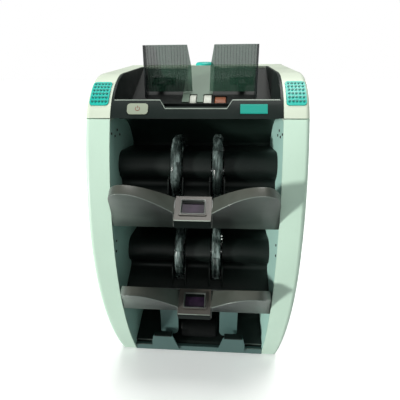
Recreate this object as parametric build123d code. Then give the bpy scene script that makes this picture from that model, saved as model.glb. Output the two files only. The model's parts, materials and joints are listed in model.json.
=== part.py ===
"""Desktop banknote counter with a top hopper, two stacker pockets and an open reject pocket.

Millimetres. X runs across the machine, +Y to its rear, +Z up. While it is being built, Y is
measured from the front edge of the side panels at the split line. Every piece is then moved by
SHIFT_Y, so the origin lies on the ground under the middle of the machine.
"""
from build123d import *
from math import acos, asin, cos, degrees, hypot, pi, radians, sin, sqrt
import os

# --- driving dimensions -----------------------------------------------------------------------
HALF_W = 135.0                     # half the body's width above the taper
FOOT_HALF_W = 128.0                # half its width at the ground
TAPER_TOP_Z = 200.0                # the sides narrow below this height
POCKET_HALF = 104.0                # half the clear width of a pocket
SKIN = 2.6                         # moulded wall thickness
GROUND_GAP = 3.0                   # feet hold the casing this far off the ground
SPLIT_Z = 375.0                    # line between the side panels and the top cover
SPLIT_GAP = 1.2                    # shadow gap on that line
TOP_Z = 420.0
BACK_Y = 245.0
FRONT_R = 420.0                    # bow of the front edge, seen from the side
FRONT_CZ = 165.0
FRONT_CY = sqrt(FRONT_R ** 2 - (SPLIT_Z - FRONT_CZ) ** 2)
SHOULDER_R = 90.0                  # shoulder from the front edge to the flat top
SHOULDER_CZ = TOP_Z - SHOULDER_R
SHOULDER_CY = SHOULDER_R * sin(radians(60))
EDGE_R = 6.0                       # rounding along the casing's outer edges
POCKET_DY = -7.0                   # step from pocket 1 to pocket 2
POCKET_DZ = -131.5
TRAY_DY = -8.0
LIP_FRONT_Y = -80.0                # front of tray 1's lip, at its crest
WALL_T = 2.4                       # inner pocket wall
PLATE_T = 2.0                      # steel frame plate
SHEET_T = 2.2                      # hoods, back walls, hopper well
SHAFT_R = 4.0
BEARING_R = 8.0
RUNNING = 0.05                     # radial clearance of a shaft in its bore
GAP = 0.35                         # clearance round a button or a lid
LID_PIVOT = (232.0, 415.0)         # hinge axis of the top module (y, z)
LID_BARREL_R = TOP_Z - LID_PIVOT[1]
STACKER = (40.0, 298.0)            # axis of the upper stacker shaft (y, z)
WHEEL_R = 48.0
WHEEL_X = 27.0                     # the two wheels stand this far each side of the middle
WHEEL_W = 13.0
WHEEL_EDGE_R = 5.0                 # the vanes' tips are rounded across the wheel
DRUM_R = 26.0
DRUM_YZ = ((160.0, 300.0), (160.0, 150.0))
BELT_T = 1.2
PICKUP = (100.0, 367.0)            # axis of the pick-up rollers (y, z)
MOTOR = (120.0, 62.0)
SHIFT_Y = -(BACK_Y + LIP_FRONT_Y + TRAY_DY) / 2
POCKETS = ((0.0, 0.0), (POCKET_DY, POCKET_DZ))
TRAYS = ((0.0, 0.0), (TRAY_DY, POCKET_DZ))

TIE_RODS = ((100, 26), (222, 26), (222, 358), (116, 212))
GATE_YZ = ((116.0, 300.0), (110.0, 176.0))
SHAFT_HOLES = (STACKER, (STACKER[0] + POCKET_DY, STACKER[1] + POCKET_DZ)) + DRUM_YZ
WALL_HOLES = ((2, 358), (10, 352), (22, 356), (30, 349), (60, 362), (-40, 226), (-46, 214))
BACK_WALL = ((38.0, 369.0), (80.0, 352.0), (95.0, 320.0))
HOOD_PATH = ((97, 315.5), (20, 328), (3, 306), (22, 287), (-20, 269))
HOOD_ROUND = (20, 16, 8)           # radius at each bend of that path
FIN = ((-17, 270.3), (11, 282.3), (15.8, 288.2), (13.6, 295.4), (9.5, 301), (2, 301), (-6, 297))
WELL_PATH = ((24.3, 389.5), (25, 384), (88, 378.5), (187.1, 416.1), (198, 416.1))
ROLLERS = ((-10.5, 21.0, 9.0), (10.5, 21.0, 11.0), (28.5, 18.5, 16.0))
FEED_MOTOR_X = 72.0
GUIDE_Y = 110.0
GUIDE_LOW = 392.0
FLANGE_LOW = 389.5                 # the outer flange reaches past the back plate, down to the well
GUIDE_TOP = 453.0
GUIDE_ARM_X = 60.0
GUIDE_TRAVEL = 10.0
GUIDE_RIBS = 11
GUIDE_RIB_PITCH = 5.0
GUIDE_RAIL = (165.0, 393.0)
OPENING_REAR = 193.0
KNOB_Y = 210.0
KNOB_R = 15.0
PAD_X = 119.0
PAD_W = 23.5
PAD_L = 38.0
PAD_Z = 402.3
PAD_DOTS = (5, 6)                  # raised dots across and along a pad, and their pitches
PAD_DOT_PITCH = (4.2, 5.7)
PAD_DOT_R = 1.25
BAND_TOP_Z = 394.8
NOTCH_Z = 386.3
LEDGE_T = 2.5                      # shelf closing the gap from the band to the well
LEDGE_REAR = 23.0
BUTTON_X = -70.5
BUTTON_W = 25.5
BUTTON_H = 14.0
BUTTON_Z = 385.8
LABEL_X = 69.0
EAR_X0 = 90.0
EAR_X1 = 98.0
LID_PIN_R = 2.2
DOOR_HALF = 82.0
DOOR_LOW = 124.0
DOOR_HIGH = 350.0
DOOR_PIN_Y = BACK_Y - 3.0
DOOR_PIN_R = 1.5
COVER_SCREWS = tuple((x, z) for x in (-95.0, 95.0) for z in (18.0, 108.0, 364.0))
FAN_SCREW = 25.0                   # the fan's screws stand this far each way from its middle
SCREW_WELL = (3.0, 1.2)            # radius and depth of the recess for a screw's head
RATING_PLATE = (60.0, 22.0, 0.6, 95.0)
INLET_X = -62.0
SWITCH_X = -22.0
FAN_X = 58.0
FAN_Z = 62.0
HUB_R = 14.0
VANES = 12
VANE_T = 1.2
VANE_R = 35.0
VANE_TURN = 95.0
VANE_CURL_R = 14.0
VANE_CURL_TURN = 122.0             # far enough for the vane to end inside the hub
LIP_FLAT_X = 22.0
LIP_CREST_X = 78.0
LIP_END_X = 103.7
LIP_CENTRE_Y = -66.0
LIP_CENTRE_Z = 283.0
LIP_CREST_Z = 312.0
LIP_SWEEP = 38.0                   # the lip's ends turn back and down to the side walls
LIP_FALL = 33.0
TRAY_FOOT = (-45.0, 252.0)
TRAY_FLOOR = (-22.5, 267.5)        # where the tray's floor meets the foot of the hood
LIP_DROP = (0.0, 5.0)              # the lower tray's lip stands this much lower
DISPLAY_W = 43.0
WEDGE_NOSE = (-68.5, 265.0)        # lower front edge of the display's wedge
FLAP_PIVOT = (-2.0, 114.0)
STOP_LOW = 8.0
STOP_TOP = 38.0
BELT_PLANE_IN = (111.5, 117.5)
BELT_PLANE_OUT = (119.0, 125.0)
PULLEY_SMALL = 12.0
PULLEY_BIG = 18.0
MOTOR_PULLEY = 9.0
MOTOR_BOSS_R = 8.5
MOTOR_PIN_R = 3.0
GATE_PIN_R = 1.5
PINCH_R = 9.0
PINCH_PIN_R = 2.0
PINCH_DY = DRUM_R + BELT_T + 0.6 + PINCH_R
TRANSPORT_BELTS = (-60.0, 0.0, 60.0)

FRAME_X = POCKET_HALF + WALL_T     # inner face of the frame plates
FRAME_OUT_X = FRAME_X + PLATE_T

os.makedirs("parts", exist_ok=True)


# --- helpers ----------------------------------------------------------------------------------
def save(name, *pieces):
    """Write one node: one solid, or a group of separate solids."""
    solids = [solid for piece in pieces for solid in piece.solids()]
    moved = [Pos(0, SHIFT_Y, 0) * solid for solid in solids]
    shape = moved[0] if len(moved) == 1 else Compound(children=moved)
    export_step(shape, f"parts/{name}.step")


def block(x0, x1, y0, y1, z0, z1):
    middle = Pos((x0 + x1) / 2, (y0 + y1) / 2, (z0 + z1) / 2)
    return middle * Box(abs(x1 - x0), abs(y1 - y0), abs(z1 - z0))


def rod_x(radius, x0, x1, y, z):
    return Pos((x0 + x1) / 2, y, z) * Rot(0, 90, 0) * Cylinder(radius, abs(x1 - x0))


def rod_y(radius, x, y0, y1, z):
    return Pos(x, (y0 + y1) / 2, z) * Rot(90, 0, 0) * Cylinder(radius, abs(y1 - y0))


def rod_z(radius, x, y, z0, z1):
    return Pos(x, y, (z0 + z1) / 2) * Cylinder(radius, abs(z1 - z0))


def solid_x(edges, x0, x1):
    """Extrude an outline drawn in (y, z) from x0 to x1."""
    return extrude(Plane.YZ.offset(x0) * make_face(edges), amount=x1 - x0)


def solid_y(edges, y0, y1):
    """Extrude an outline drawn in (x, z) from y0 to y1."""
    return extrude(Plane.XZ.offset(-y1) * make_face(edges), amount=y1 - y0)


def outline(*points):
    return Polyline(*points, close=True).edges()


def sheet_x(points, radius, thickness, x0, x1):
    """A bent sheet: a path in (y, z) with rounded corners, thickened and extruded along X."""
    path = FilletPolyline(*points, radius=radius) if len(points) > 2 else Line(*points)
    return extrude(Plane.YZ.offset(x0) * trace(path, line_width=thickness), amount=x1 - x0)


def both_sides(piece):
    return [piece, mirror(piece, about=Plane.YZ)]


def shifted(points, dy, dz):
    return [(y + dy, z + dz) for y, z in points]


# --- outer outlines ---------------------------------------------------------------------------
def front_y(z, inset=0.0):
    """Front edge of the side panels at height z."""
    return FRONT_CY - sqrt((FRONT_R - inset) ** 2 - (z - FRONT_CZ) ** 2)


def side_outline(inset, z_low, z_high, y_back):
    middle = (FRONT_CY - FRONT_R + inset, FRONT_CZ)
    low, high = (front_y(z_low, inset), z_low), (front_y(z_high, inset), z_high)
    return [ThreePointArc(low, middle, high), Line(high, (y_back, z_high)),
            Line((y_back, z_high), (y_back, z_low)), Line((y_back, z_low), low)]


def width_outline(inset, x_in, z_low, z_high):
    """Half of the front view: straight above the taper, drawn in along an arc below it."""
    taper = HALF_W - FOOT_HALF_W
    radius = (TAPER_TOP_Z ** 2 + taper ** 2) / (2 * taper)

    def side(z):
        return HALF_W - inset - radius + sqrt(radius ** 2 - (z - TAPER_TOP_Z) ** 2)

    low, middle = (side(z_low), z_low), (side(TAPER_TOP_Z / 2), TAPER_TOP_Z / 2)
    waist, top = (HALF_W - inset, TAPER_TOP_Z), (HALF_W - inset, z_high)
    return [ThreePointArc(low, middle, waist), Line(waist, top), Line(top, (x_in, z_high)),
            Line((x_in, z_high), (x_in, z_low)), Line((x_in, z_low), low)]


def shoulder_point(angle, radius=SHOULDER_R):
    """A point of the shoulder arc; the angle is in degrees from straight up."""
    return (SHOULDER_CY - radius * sin(radians(angle)), SHOULDER_CZ + radius * cos(radians(angle)))


def shoulder_angle(z):
    return degrees(acos((z - SHOULDER_CZ) / SHOULDER_R))


PAD_ANGLE = shoulder_angle(PAD_Z)


def lid_outline(inset, z_low):
    """Side view of the top module's cover, up to the hinge axis at its rear."""
    radius = SHOULDER_R - inset
    low_angle = degrees(acos((z_low - SHOULDER_CZ) / radius))
    start, top = shoulder_point(low_angle, radius), (SHOULDER_CY, TOP_Z - inset)
    rear = LID_PIVOT[0]
    return [ThreePointArc(start, shoulder_point(low_angle / 2, radius), top),
            Line(top, (rear, TOP_Z - inset)), Line((rear, TOP_Z - inset), (rear, z_low)),
            Line((rear, z_low), start)]


def on_shoulder(angle):
    """A plane on the shoulder: its x runs across the machine and its z points outwards."""
    y, z = shoulder_point(angle)
    normal = (0, -sin(radians(angle)), cos(radians(angle)))
    return Plane(origin=(0, y, z), x_dir=(1, 0, 0), z_dir=normal)


# --- casing -----------------------------------------------------------------------------------
def side_panels():
    wide = HALF_W + 5
    shell = solid_x(side_outline(0, GROUND_GAP, SPLIT_Z, BACK_Y), POCKET_HALF, wide)
    shell &= solid_y(width_outline(0, POCKET_HALF, GROUND_GAP, SPLIT_Z), -80, BACK_Y)
    outer = [edge for edge in shell.edges()
             if edge.center().X > FOOT_HALF_W - 4 and edge.bounding_box().size.Z > 40
             and edge.bounding_box().max.Y < 20]
    shell = fillet(outer, EDGE_R)
    low, high = GROUND_GAP + SKIN, SPLIT_Z - SKIN
    hollow = solid_x(side_outline(SKIN, low, high, BACK_Y - SKIN), POCKET_HALF, wide)
    hollow &= solid_y(width_outline(SKIN, POCKET_HALF, low, high), -80, BACK_Y)
    corner = [edge for edge in hollow.edges()
              if edge.center().X > FOOT_HALF_W - 7 and edge.bounding_box().size.Z > 40
              and edge.bounding_box().max.Y < 20]
    panel = shell - fillet(corner, EDGE_R - SKIN)
    right, left = both_sides(panel)
    save("right_side_panel", right)
    save("left_side_panel", left)


def inner_walls():
    """The pocket walls, pierced for the shafts and by small holes for screws and sensors."""
    wall = solid_x(side_outline(SKIN + 0.1, 9.0, SPLIT_Z - SKIN - 0.4, 236), POCKET_HALF, FRAME_X)
    for y, z in SHAFT_HOLES:
        wall -= rod_x(BEARING_R, POCKET_HALF - 1, FRAME_X + 1, y, z)
    for y, z in GATE_YZ:
        wall -= rod_x(GATE_PIN_R + RUNNING, POCKET_HALF - 1, FRAME_X + 1, y, z)
    for y, z in WALL_HOLES:
        wall -= rod_x(1.3, POCKET_HALF - 1, POCKET_HALF + 1.6, y, z)
    right, left = both_sides(wall)
    right -= rod_x(MOTOR_BOSS_R + RUNNING, POCKET_HALF - 1, FRAME_X + 1, *MOTOR)
    save("pocket_side_walls", left, right)


def frame_plates():
    plate = solid_x(outline((12, 9), (236, 9), (236, 371), (30, 371), (-12, 250), (-12, 60)),
                    FRAME_X, FRAME_OUT_X)
    for y, z in SHAFT_HOLES:
        plate -= rod_x(BEARING_R, FRAME_X - 1, FRAME_OUT_X + 1, y, z)
    for y, z in GATE_YZ:
        plate -= rod_x(GATE_PIN_R + RUNNING, FRAME_X - 1, FRAME_OUT_X + 1, y, z)
    right, left = both_sides(plate)
    right -= rod_x(MOTOR_BOSS_R + RUNNING, FRAME_X - 1, FRAME_OUT_X + 1, *MOTOR)
    save("frame_plates", left, right)
    rods = [rod_x(5, -POCKET_HALF, POCKET_HALF, y, z) for y, z in TIE_RODS]
    save("tie_rods", *rods)


def base_tray():
    base = block(-121, 121, -16, 240, GROUND_GAP + SKIN, GROUND_GAP + 2 * SKIN)
    half = POCKET_HALF - 0.3
    bar = block(-half, half, -24.5, -16, GROUND_GAP, 9) + block(-half, half, -24.5, -18, 9, 12)
    lip = block(-half, half, -24.5, -22.5, 12, 13.2)
    save("base_tray", base + bar + lip)
    feet = [rod_z(9, x, y, 0, GROUND_GAP + SKIN) for x in (-90, 90) for y in (6, 226)]
    save("rubber_feet", *feet)


def rear_cover():
    low, high = GROUND_GAP + 2 * SKIN, SPLIT_Z
    inner = BACK_Y - SKIN
    cover = block(-POCKET_HALF + 0.3, POCKET_HALF - 0.3, inner, BACK_Y, low, high)
    cover -= block(-DOOR_HALF - GAP, DOOR_HALF + GAP, inner - 1, BACK_Y + 1, DOOR_LOW - 3 - GAP,
                   DOOR_HIGH + GAP)
    ear = block(DOOR_HALF + 0.3, DOOR_HALF + 8, DOOR_PIN_Y - 3, inner, DOOR_LOW - 5, DOOR_LOW + 5)
    for part in both_sides(ear):
        cover += part
    cover -= rod_x(DOOR_PIN_R, -DOOR_HALF - 8, DOOR_HALF + 8, DOOR_PIN_Y, DOOR_LOW)
    cover -= block(INLET_X - 25, SWITCH_X + 9, inner - 1, BACK_Y + 1, 34, 62)
    for row in range(7):
        z = FAN_Z - 24 + 8 * row
        half = sqrt(27 ** 2 - (z - FAN_Z) ** 2)
        cover -= block(FAN_X - half, FAN_X + half, inner - 1, BACK_Y + 1, z - 1.6, z + 1.6)
    reach = (-FAN_SCREW, FAN_SCREW)
    fan_screws = [(FAN_X + dx, FAN_Z + dz) for dx in reach for dz in reach]
    radius, depth = SCREW_WELL
    for x, z in [*COVER_SCREWS, *fan_screws]:
        cover -= rod_y(radius, x, BACK_Y - depth, BACK_Y + 1, z)
    wide, high, depth, z = RATING_PLATE
    cover -= block(-wide / 2, wide / 2, BACK_Y - depth, BACK_Y + 1, z - high / 2, z + high / 2)
    save("rear_cover", cover)

    door = block(-DOOR_HALF, DOOR_HALF, inner, BACK_Y, DOOR_LOW, DOOR_HIGH)
    door += rod_x(3, -DOOR_HALF, DOOR_HALF, DOOR_PIN_Y, DOOR_LOW)
    door -= rod_x(DOOR_PIN_R + RUNNING, -DOOR_HALF - 1, DOOR_HALF + 1, DOOR_PIN_Y, DOOR_LOW)
    door -= block(-22, 22, BACK_Y - 1.2, BACK_Y + 1, DOOR_HIGH - 16, DOOR_HIGH - 6)
    save("rear_door", door)


def rear_top_cap():
    """Fixed strip behind the lid; it carries the two ears that hold the lid's hinge pins."""
    y, z = LID_PIVOT
    front = y + LID_BARREL_R + 0.5

    def section(inset, z_low):
        top, back, r = TOP_Z - inset, BACK_Y - inset, 7.0 - inset
        return [Line((y + 0.6 + inset, z_low), (y + 0.6 + inset, top)),
                Line((y + 0.6 + inset, top), (back - r, top)),
                ThreePointArc((back - r, top), (back - r + r * sin(pi / 4), top - r + r * cos(pi / 4)),
                              (back, top - r)),
                Line((back, top - r), (back, z_low)), Line((back, z_low), (y + 0.6 + inset, z_low))]

    low = SPLIT_Z
    cap = solid_x(section(0, low), -HALF_W, HALF_W)
    corner = [edge for edge in cap.edges()
              if abs(edge.center().X) > HALF_W - 0.1 and edge.center().Z > TOP_Z - 8
              and edge.center().Y > front]
    cap = fillet(corner, 5.0)
    cap -= solid_x(section(SKIN, low - 1), -HALF_W + SKIN, HALF_W - SKIN)
    cap -= rod_x(LID_BARREL_R + 0.5, -HALF_W - 1, HALF_W + 1, y, z)
    cap -= block(-HALF_W + SKIN, HALF_W - SKIN, y - 1, front, low - 1, TOP_Z + 1)
    for x0 in (EAR_X0, -EAR_X1):
        ear = rod_x(LID_BARREL_R - 0.1, x0, x0 + EAR_X1 - EAR_X0, y, z)
        ear += block(x0, x0 + EAR_X1 - EAR_X0, y, BACK_Y - SKIN, z - LID_BARREL_R + 0.1, z + 2)
        ear -= rod_x(LID_PIN_R, x0 - 1, x0 + EAR_X1, y, z)
        cap += ear
    save("rear_top_cap", cap)
    pins = both_sides(rod_x(LID_PIN_R, EAR_X0 - 7, EAR_X1 + 7, y, z))
    pins.append(rod_x(DOOR_PIN_R, -DOOR_HALF - 8, DOOR_HALF + 8, DOOR_PIN_Y, DOOR_LOW))
    y, z = FLAP_PIVOT
    flap_pin = rod_x(2, -80, 80, y, z)
    for x in (-80, 78):
        flap_pin += block(x, x + 2, y - 3, y + 3, z - 3, 121.6)
    save("hinge_pins", *pins, flap_pin)


# --- top module -------------------------------------------------------------------------------
def pad_cut(length, width, depth_in, depth_out, x, angle):
    """A rounded prism standing on the shoulder, used for pads, buttons and their windows."""
    face = on_shoulder(angle) * Pos(x, 0, -depth_in) * RectangleRounded(width, length, 4)
    return extrude(face, amount=depth_in + depth_out)


def shoulder_shell(r_in, r_out, x0, x1):
    ring = rod_x(r_out, x0, x1, SHOULDER_CY, SHOULDER_CZ)
    return ring - rod_x(r_in, x0 - 1, x1 + 1, SHOULDER_CY, SHOULDER_CZ)


def top_cover():
    low = SPLIT_Z + SPLIT_GAP
    cover = solid_x(lid_outline(0, low), -HALF_W, HALF_W)
    rim = [edge for edge in cover.edges()
           if abs(edge.center().X) > HALF_W - 0.1 and edge.bounding_box().max.Z > TOP_Z - 1
           and edge.center().Y < LID_PIVOT[0]]
    cover = fillet(rim, EDGE_R)
    hollow = solid_x(lid_outline(SKIN, low - 1), -HALF_W + SKIN, HALF_W - SKIN)
    rim = [edge for edge in hollow.edges()
           if abs(edge.center().X) > HALF_W - SKIN - 0.1
           and edge.bounding_box().max.Z > TOP_Z - SKIN - 1 and edge.center().Y < LID_PIVOT[0]]
    cover -= fillet(rim, EDGE_R - SKIN)
    y, z = LID_PIVOT
    cover += rod_x(LID_BARREL_R, -HALF_W + EDGE_R, HALF_W - EDGE_R, y, z)
    cover -= block(-POCKET_HALF, POCKET_HALF, -5, OPENING_REAR, low - 2, TOP_Z + 1)
    for x0 in (EAR_X0, -EAR_X1):
        ear_band = (x0 - GAP, x0 + EAR_X1 - EAR_X0 + GAP)
        cover -= block(*ear_band, y - LID_BARREL_R - 1, BACK_Y, z - 8, TOP_Z + 1)
    cover -= rod_x(LID_PIN_R + RUNNING, -EAR_X1 - 7.2, EAR_X1 + 7.2, y, z)
    for x in (-PAD_X, PAD_X):
        cover -= pad_cut(PAD_L + 2 * GAP, PAD_W + 2 * GAP, 12, 5, x, PAD_ANGLE)
    cover -= rod_z(KNOB_R + GAP, 0, KNOB_Y, TOP_Z - 1.2, TOP_Z + 2)
    cover -= rod_z(3 + RUNNING, 0, KNOB_Y, TOP_Z - 5, TOP_Z + 2)
    save("top_cover", cover)


def latch_pads():
    """Press pads on the shoulders, each with a field of raised dots."""
    for name, x in (("left", -PAD_X), ("right", PAD_X)):
        pad = pad_cut(PAD_L, PAD_W, 10, 5, x, PAD_ANGLE)
        pad &= shoulder_shell(SHOULDER_R - 7, SHOULDER_R + 1.0, x - 20, x + 20)
        for column in range(PAD_DOTS[0]):
            x_dot = x + (column - (PAD_DOTS[0] - 1) / 2) * PAD_DOT_PITCH[0]
            for row in range(PAD_DOTS[1]):
                along = (row - (PAD_DOTS[1] - 1) / 2) * PAD_DOT_PITCH[1]
                angle = PAD_ANGLE + degrees(along / SHOULDER_R)
                spot = on_shoulder(angle) * Pos(x_dot, 0, 0.4) * Circle(PAD_DOT_R)
                pad += extrude(spot, amount=1.3)
        save(f"{name}_latch_pad", pad)


def hopper_bezel():
    """Band across the front of the hopper, with the cheeks that line the opening."""
    half = POCKET_HALF - 0.3
    low = SPLIT_Z + SPLIT_GAP
    band = shoulder_shell(SHOULDER_R - 3, SHOULDER_R, -half, half)
    band &= block(-half, half, -20, 60, low, BAND_TOP_Z)
    notch = outline((-43.8, BAND_TOP_Z + 1), (-37, NOTCH_Z), (37, NOTCH_Z), (43.8, BAND_TOP_Z + 1))
    band -= solid_y(notch, -20, 60)
    ledge = block(-half, half, front_y(SPLIT_Z) + 9, LEDGE_REAR, NOTCH_Z - LEDGE_T, NOTCH_Z)
    ledge &= rod_x(SHOULDER_R - 1, -60, 60, SHOULDER_CY, SHOULDER_CZ)
    arc = [ThreePointArc(shoulder_point(shoulder_angle(low)), shoulder_point(30), (SHOULDER_CY, TOP_Z)),
           Line((SHOULDER_CY, TOP_Z), (OPENING_REAR - 0.3, TOP_Z)),
           Line((OPENING_REAR - 0.3, TOP_Z), (OPENING_REAR - 0.3, 400)),
           Line((OPENING_REAR - 0.3, 400), (70, low)),
           Line((70, low), shoulder_point(shoulder_angle(low)))]
    bezel = band + ledge
    for cheek in both_sides(solid_x(arc, half - 3, half)):
        bezel += cheek
    angle = shoulder_angle(BUTTON_Z)
    bezel -= pad_cut(BUTTON_H + 2 * GAP, BUTTON_W + 2 * GAP, 8, 3, BUTTON_X, angle)
    plate = on_shoulder(angle) * Pos(LABEL_X, 0, -1.2) * Rectangle(32.4, 12.4)
    bezel -= extrude(plate, amount=4)
    save("hopper_bezel", bezel)

    button = pad_cut(BUTTON_H, BUTTON_W, 6, 3, BUTTON_X, angle)
    button &= shoulder_shell(SHOULDER_R - 5, SHOULDER_R + 0.8, BUTTON_X - 20, BUTTON_X + 20)
    save("power_button", button)
    plate = on_shoulder(angle) * Pos(LABEL_X, 0, -1.2) * Rectangle(32, 12)
    save("label_plate", extrude(plate, amount=1.6) & rod_x(SHOULDER_R + 0.5, 0, 120, SHOULDER_CY,
                                                             SHOULDER_CZ))


def hopper_well():
    half = POCKET_HALF - 3.5
    well = sheet_x(WELL_PATH, 4, SHEET_T, -half, half)
    for x, radius, width in ROLLERS:
        well -= rod_x(radius + 1.5, x - width / 2 - 1, x + width / 2 + 1, *PICKUP)
    for x in (-GUIDE_ARM_X, GUIDE_ARM_X):
        well -= block(x - 6 - GUIDE_TRAVEL - 2, x + 6 + GUIDE_TRAVEL + 2, 136, 160, 380, 415)
    for x in (-62.0, 62.0):
        bearing = block(x - 4, x + 4, PICKUP[0] - 9, PICKUP[0] + 7, PICKUP[1] - 8, 379)
        bearing -= rod_x(SHAFT_R + RUNNING, x - 5, x + 5, *PICKUP)
        well += bearing
    save("hopper_well", well)

    lift = SHEET_T / 2 + 0.75
    line = shifted(((86.0, 379.0), (192.0, 419.0)), 0, lift)
    plate = sheet_x(line, 0, 1.5, -26, 17)
    for x, radius, width in ROLLERS:
        plate -= rod_x(radius + 1.5, x - width / 2 - 1, x + width / 2 + 1, *PICKUP)
    save("hopper_back_plate", plate)


def pickup_rollers():
    shaft = rod_x(SHAFT_R, -FEED_MOTOR_X, 70, *PICKUP)
    save("pickup_shaft", shaft)
    white = []
    for x, radius, width in ROLLERS[:2]:
        roller = rod_x(radius, x - width / 2, x + width / 2, *PICKUP)
        roller = fillet(roller.edges(), 1.2)
        white.append(roller - rod_x(SHAFT_R, x - width, x + width, *PICKUP))
    save("pickup_rollers", *white)
    x, radius, width = ROLLERS[2]
    roller = fillet(rod_x(radius, x - width / 2, x + width / 2, *PICKUP).edges(), 1.5)
    save("feed_roller", roller - rod_x(SHAFT_R, x - width, x + width, *PICKUP))
    motor = rod_x(9.5, -FEED_MOTOR_X - 26, -FEED_MOTOR_X - 4, *PICKUP)
    motor += rod_x(6.5, -FEED_MOTOR_X - 4, -FEED_MOTOR_X + 2, *PICKUP)
    save("feed_motor", motor - rod_x(SHAFT_R + RUNNING, -FEED_MOTOR_X - 1, 0, *PICKUP))


def guide_plates():
    """Ribbed note guides; an arm behind each one slides on a rail under the hopper."""
    y = GUIDE_Y
    plate = solid_y(outline((-77, GUIDE_LOW), (-77, GUIDE_TOP), (-18.8, GUIDE_TOP), (-13.5, 425),
                            (-12.5, GUIDE_LOW)), y - 1.1, y + 1.1)
    for rib in range(GUIDE_RIBS):
        x = -72.5 + rib * GUIDE_RIB_PITCH
        plate += block(x - 0.7, x + 0.7, y - 2.1, y - 1.1, GUIDE_LOW, GUIDE_TOP)
    flange = solid_x(outline((y - 20, FLANGE_LOW - 3), (y - 16, FLANGE_LOW - 4.5), (y + 1.1, FLANGE_LOW),
                             (y + 1.1, GUIDE_TOP), (y - 9, GUIDE_TOP)), -79.2, -77)
    x0, x1 = -GUIDE_ARM_X - 5, -GUIDE_ARM_X + 5
    rail_y, rail_z = GUIDE_RAIL
    arm = block(x0, x1, y + 1.1, rail_y, 399, 403)
    arm += block(x0, x1, rail_y - 6, rail_y + 6, rail_z - 6, 403)
    arm -= rod_x(SHAFT_R + RUNNING, x0 - 1, x1 + 1, rail_y, rail_z)
    left = plate + flange + arm
    save("left_guide_plate", left)
    save("right_guide_plate", mirror(left, about=Plane.YZ))
    rail = rod_x(SHAFT_R, -POCKET_HALF + 4, POCKET_HALF - 4, rail_y, rail_z)
    save("guide_rail", rail)


def gap_knob():
    knob = rod_z(KNOB_R, 0, KNOB_Y, TOP_Z - 0.9, TOP_Z + 5.5)
    knob = fillet(knob.edges().group_by(Axis.Z)[-1], 4.5)
    for step in range(18):
        angle = radians(20 * step)
        x, y = KNOB_R * cos(angle), KNOB_Y + KNOB_R * sin(angle)
        knob -= rod_z(0.8, x, y, TOP_Z - 2, TOP_Z + 1.6)
    knob += rod_z(3, 0, KNOB_Y, TOP_Z - 9, TOP_Z)
    knob += rod_z(5, 0, KNOB_Y, TOP_Z - 9, TOP_Z - SKIN - 0.2)
    save("feed_gap_knob", knob)


# --- pockets ----------------------------------------------------------------------------------
def wheel_slot(x, y, z):
    """The room cut out of a hood and a back wall for one stacker wheel."""
    half = WHEEL_W / 2 + 2
    return rod_x(WHEEL_R + 2.5, x - half, x + half, y, z)


def pocket_walls():
    half = POCKET_HALF - 0.1
    walls, hoods = [], []
    for dy, dz in POCKETS:
        y, z = STACKER[0] + dy, STACKER[1] + dz
        ends = shifted(BACK_WALL, dy, dz)
        arc = ThreePointArc(*ends)
        wall = extrude(Plane.YZ.offset(-half) * trace(arc, line_width=SHEET_T), amount=2 * half)
        wall += block(-half, half, ends[2][0] - 3, ends[2][0] + 2, ends[2][1] - 2.5, ends[2][1] + 1)
        hood = sheet_x(shifted(HOOD_PATH, dy, dz), HOOD_ROUND, SHEET_T, -half, half)
        for x in (-WHEEL_X, WHEEL_X):
            wall -= wheel_slot(x, y, z)
            hood -= wheel_slot(x, y, z)
            for side in (-1, 1):
                x_fin = x + side * (WHEEL_W / 2 + 2.9)
                hood += solid_x(outline(*shifted(FIN, dy, dz)), x_fin - 0.8, x_fin + 0.8)
        walls.append(wall)
        hoods.append(hood)
    save("pocket_back_walls", *walls)
    save("pocket_hoods", *hoods)


def stacker(number, dy, dz):
    """A shaft with two vaned wheels; each vane hugs the rim, then curls in to the hub."""
    y, z = STACKER[0] + dy, STACKER[1] + dz
    rim = CenterArc((WHEEL_R - VANE_T / 2 - VANE_R, 0), VANE_R, 0, VANE_TURN)
    end = rim @ 1
    lean = radians(VANE_TURN)
    curl_centre = (end.X - VANE_CURL_R * cos(lean), end.Y - VANE_CURL_R * sin(lean))
    curl = CenterArc(curl_centre, VANE_CURL_R, VANE_TURN, VANE_CURL_TURN)
    wheels = []
    for x0, phase in ((-WHEEL_X, 0.0), (WHEEL_X, 11.0)):
        x_low = x0 - WHEEL_W / 2
        disc = rod_x(WHEEL_R, x_low, x_low + WHEEL_W, 0, 0)
        disc = fillet(disc.edges().filter_by(GeomType.CIRCLE), WHEEL_EDGE_R)
        wheel = rod_x(HUB_R, x_low, x_low + WHEEL_W, 0, 0)
        vane = extrude(Plane.YZ.offset(x_low) * trace(rim + curl, line_width=VANE_T), amount=WHEEL_W)
        vane &= disc
        for step in range(VANES):
            wheel += Rot(360.0 * step / VANES + phase, 0, 0) * vane
        wheel -= rod_x(SHAFT_R, x_low - 1, x_low + WHEEL_W + 1, 0, 0)
        wheels.append(Pos(0, y, z) * wheel)
    save(f"stacker_{number}_wheels", *wheels)
    shaft = rod_x(SHAFT_R, -FRAME_OUT_X - 4, FRAME_OUT_X + 18, y, z)
    pulley = rod_x(PULLEY_BIG, *BELT_PLANE_OUT, y, z) - rod_x(SHAFT_R, 100, 140, y, z)
    save(f"stacker_{number}_shaft", shaft, pulley)


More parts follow.
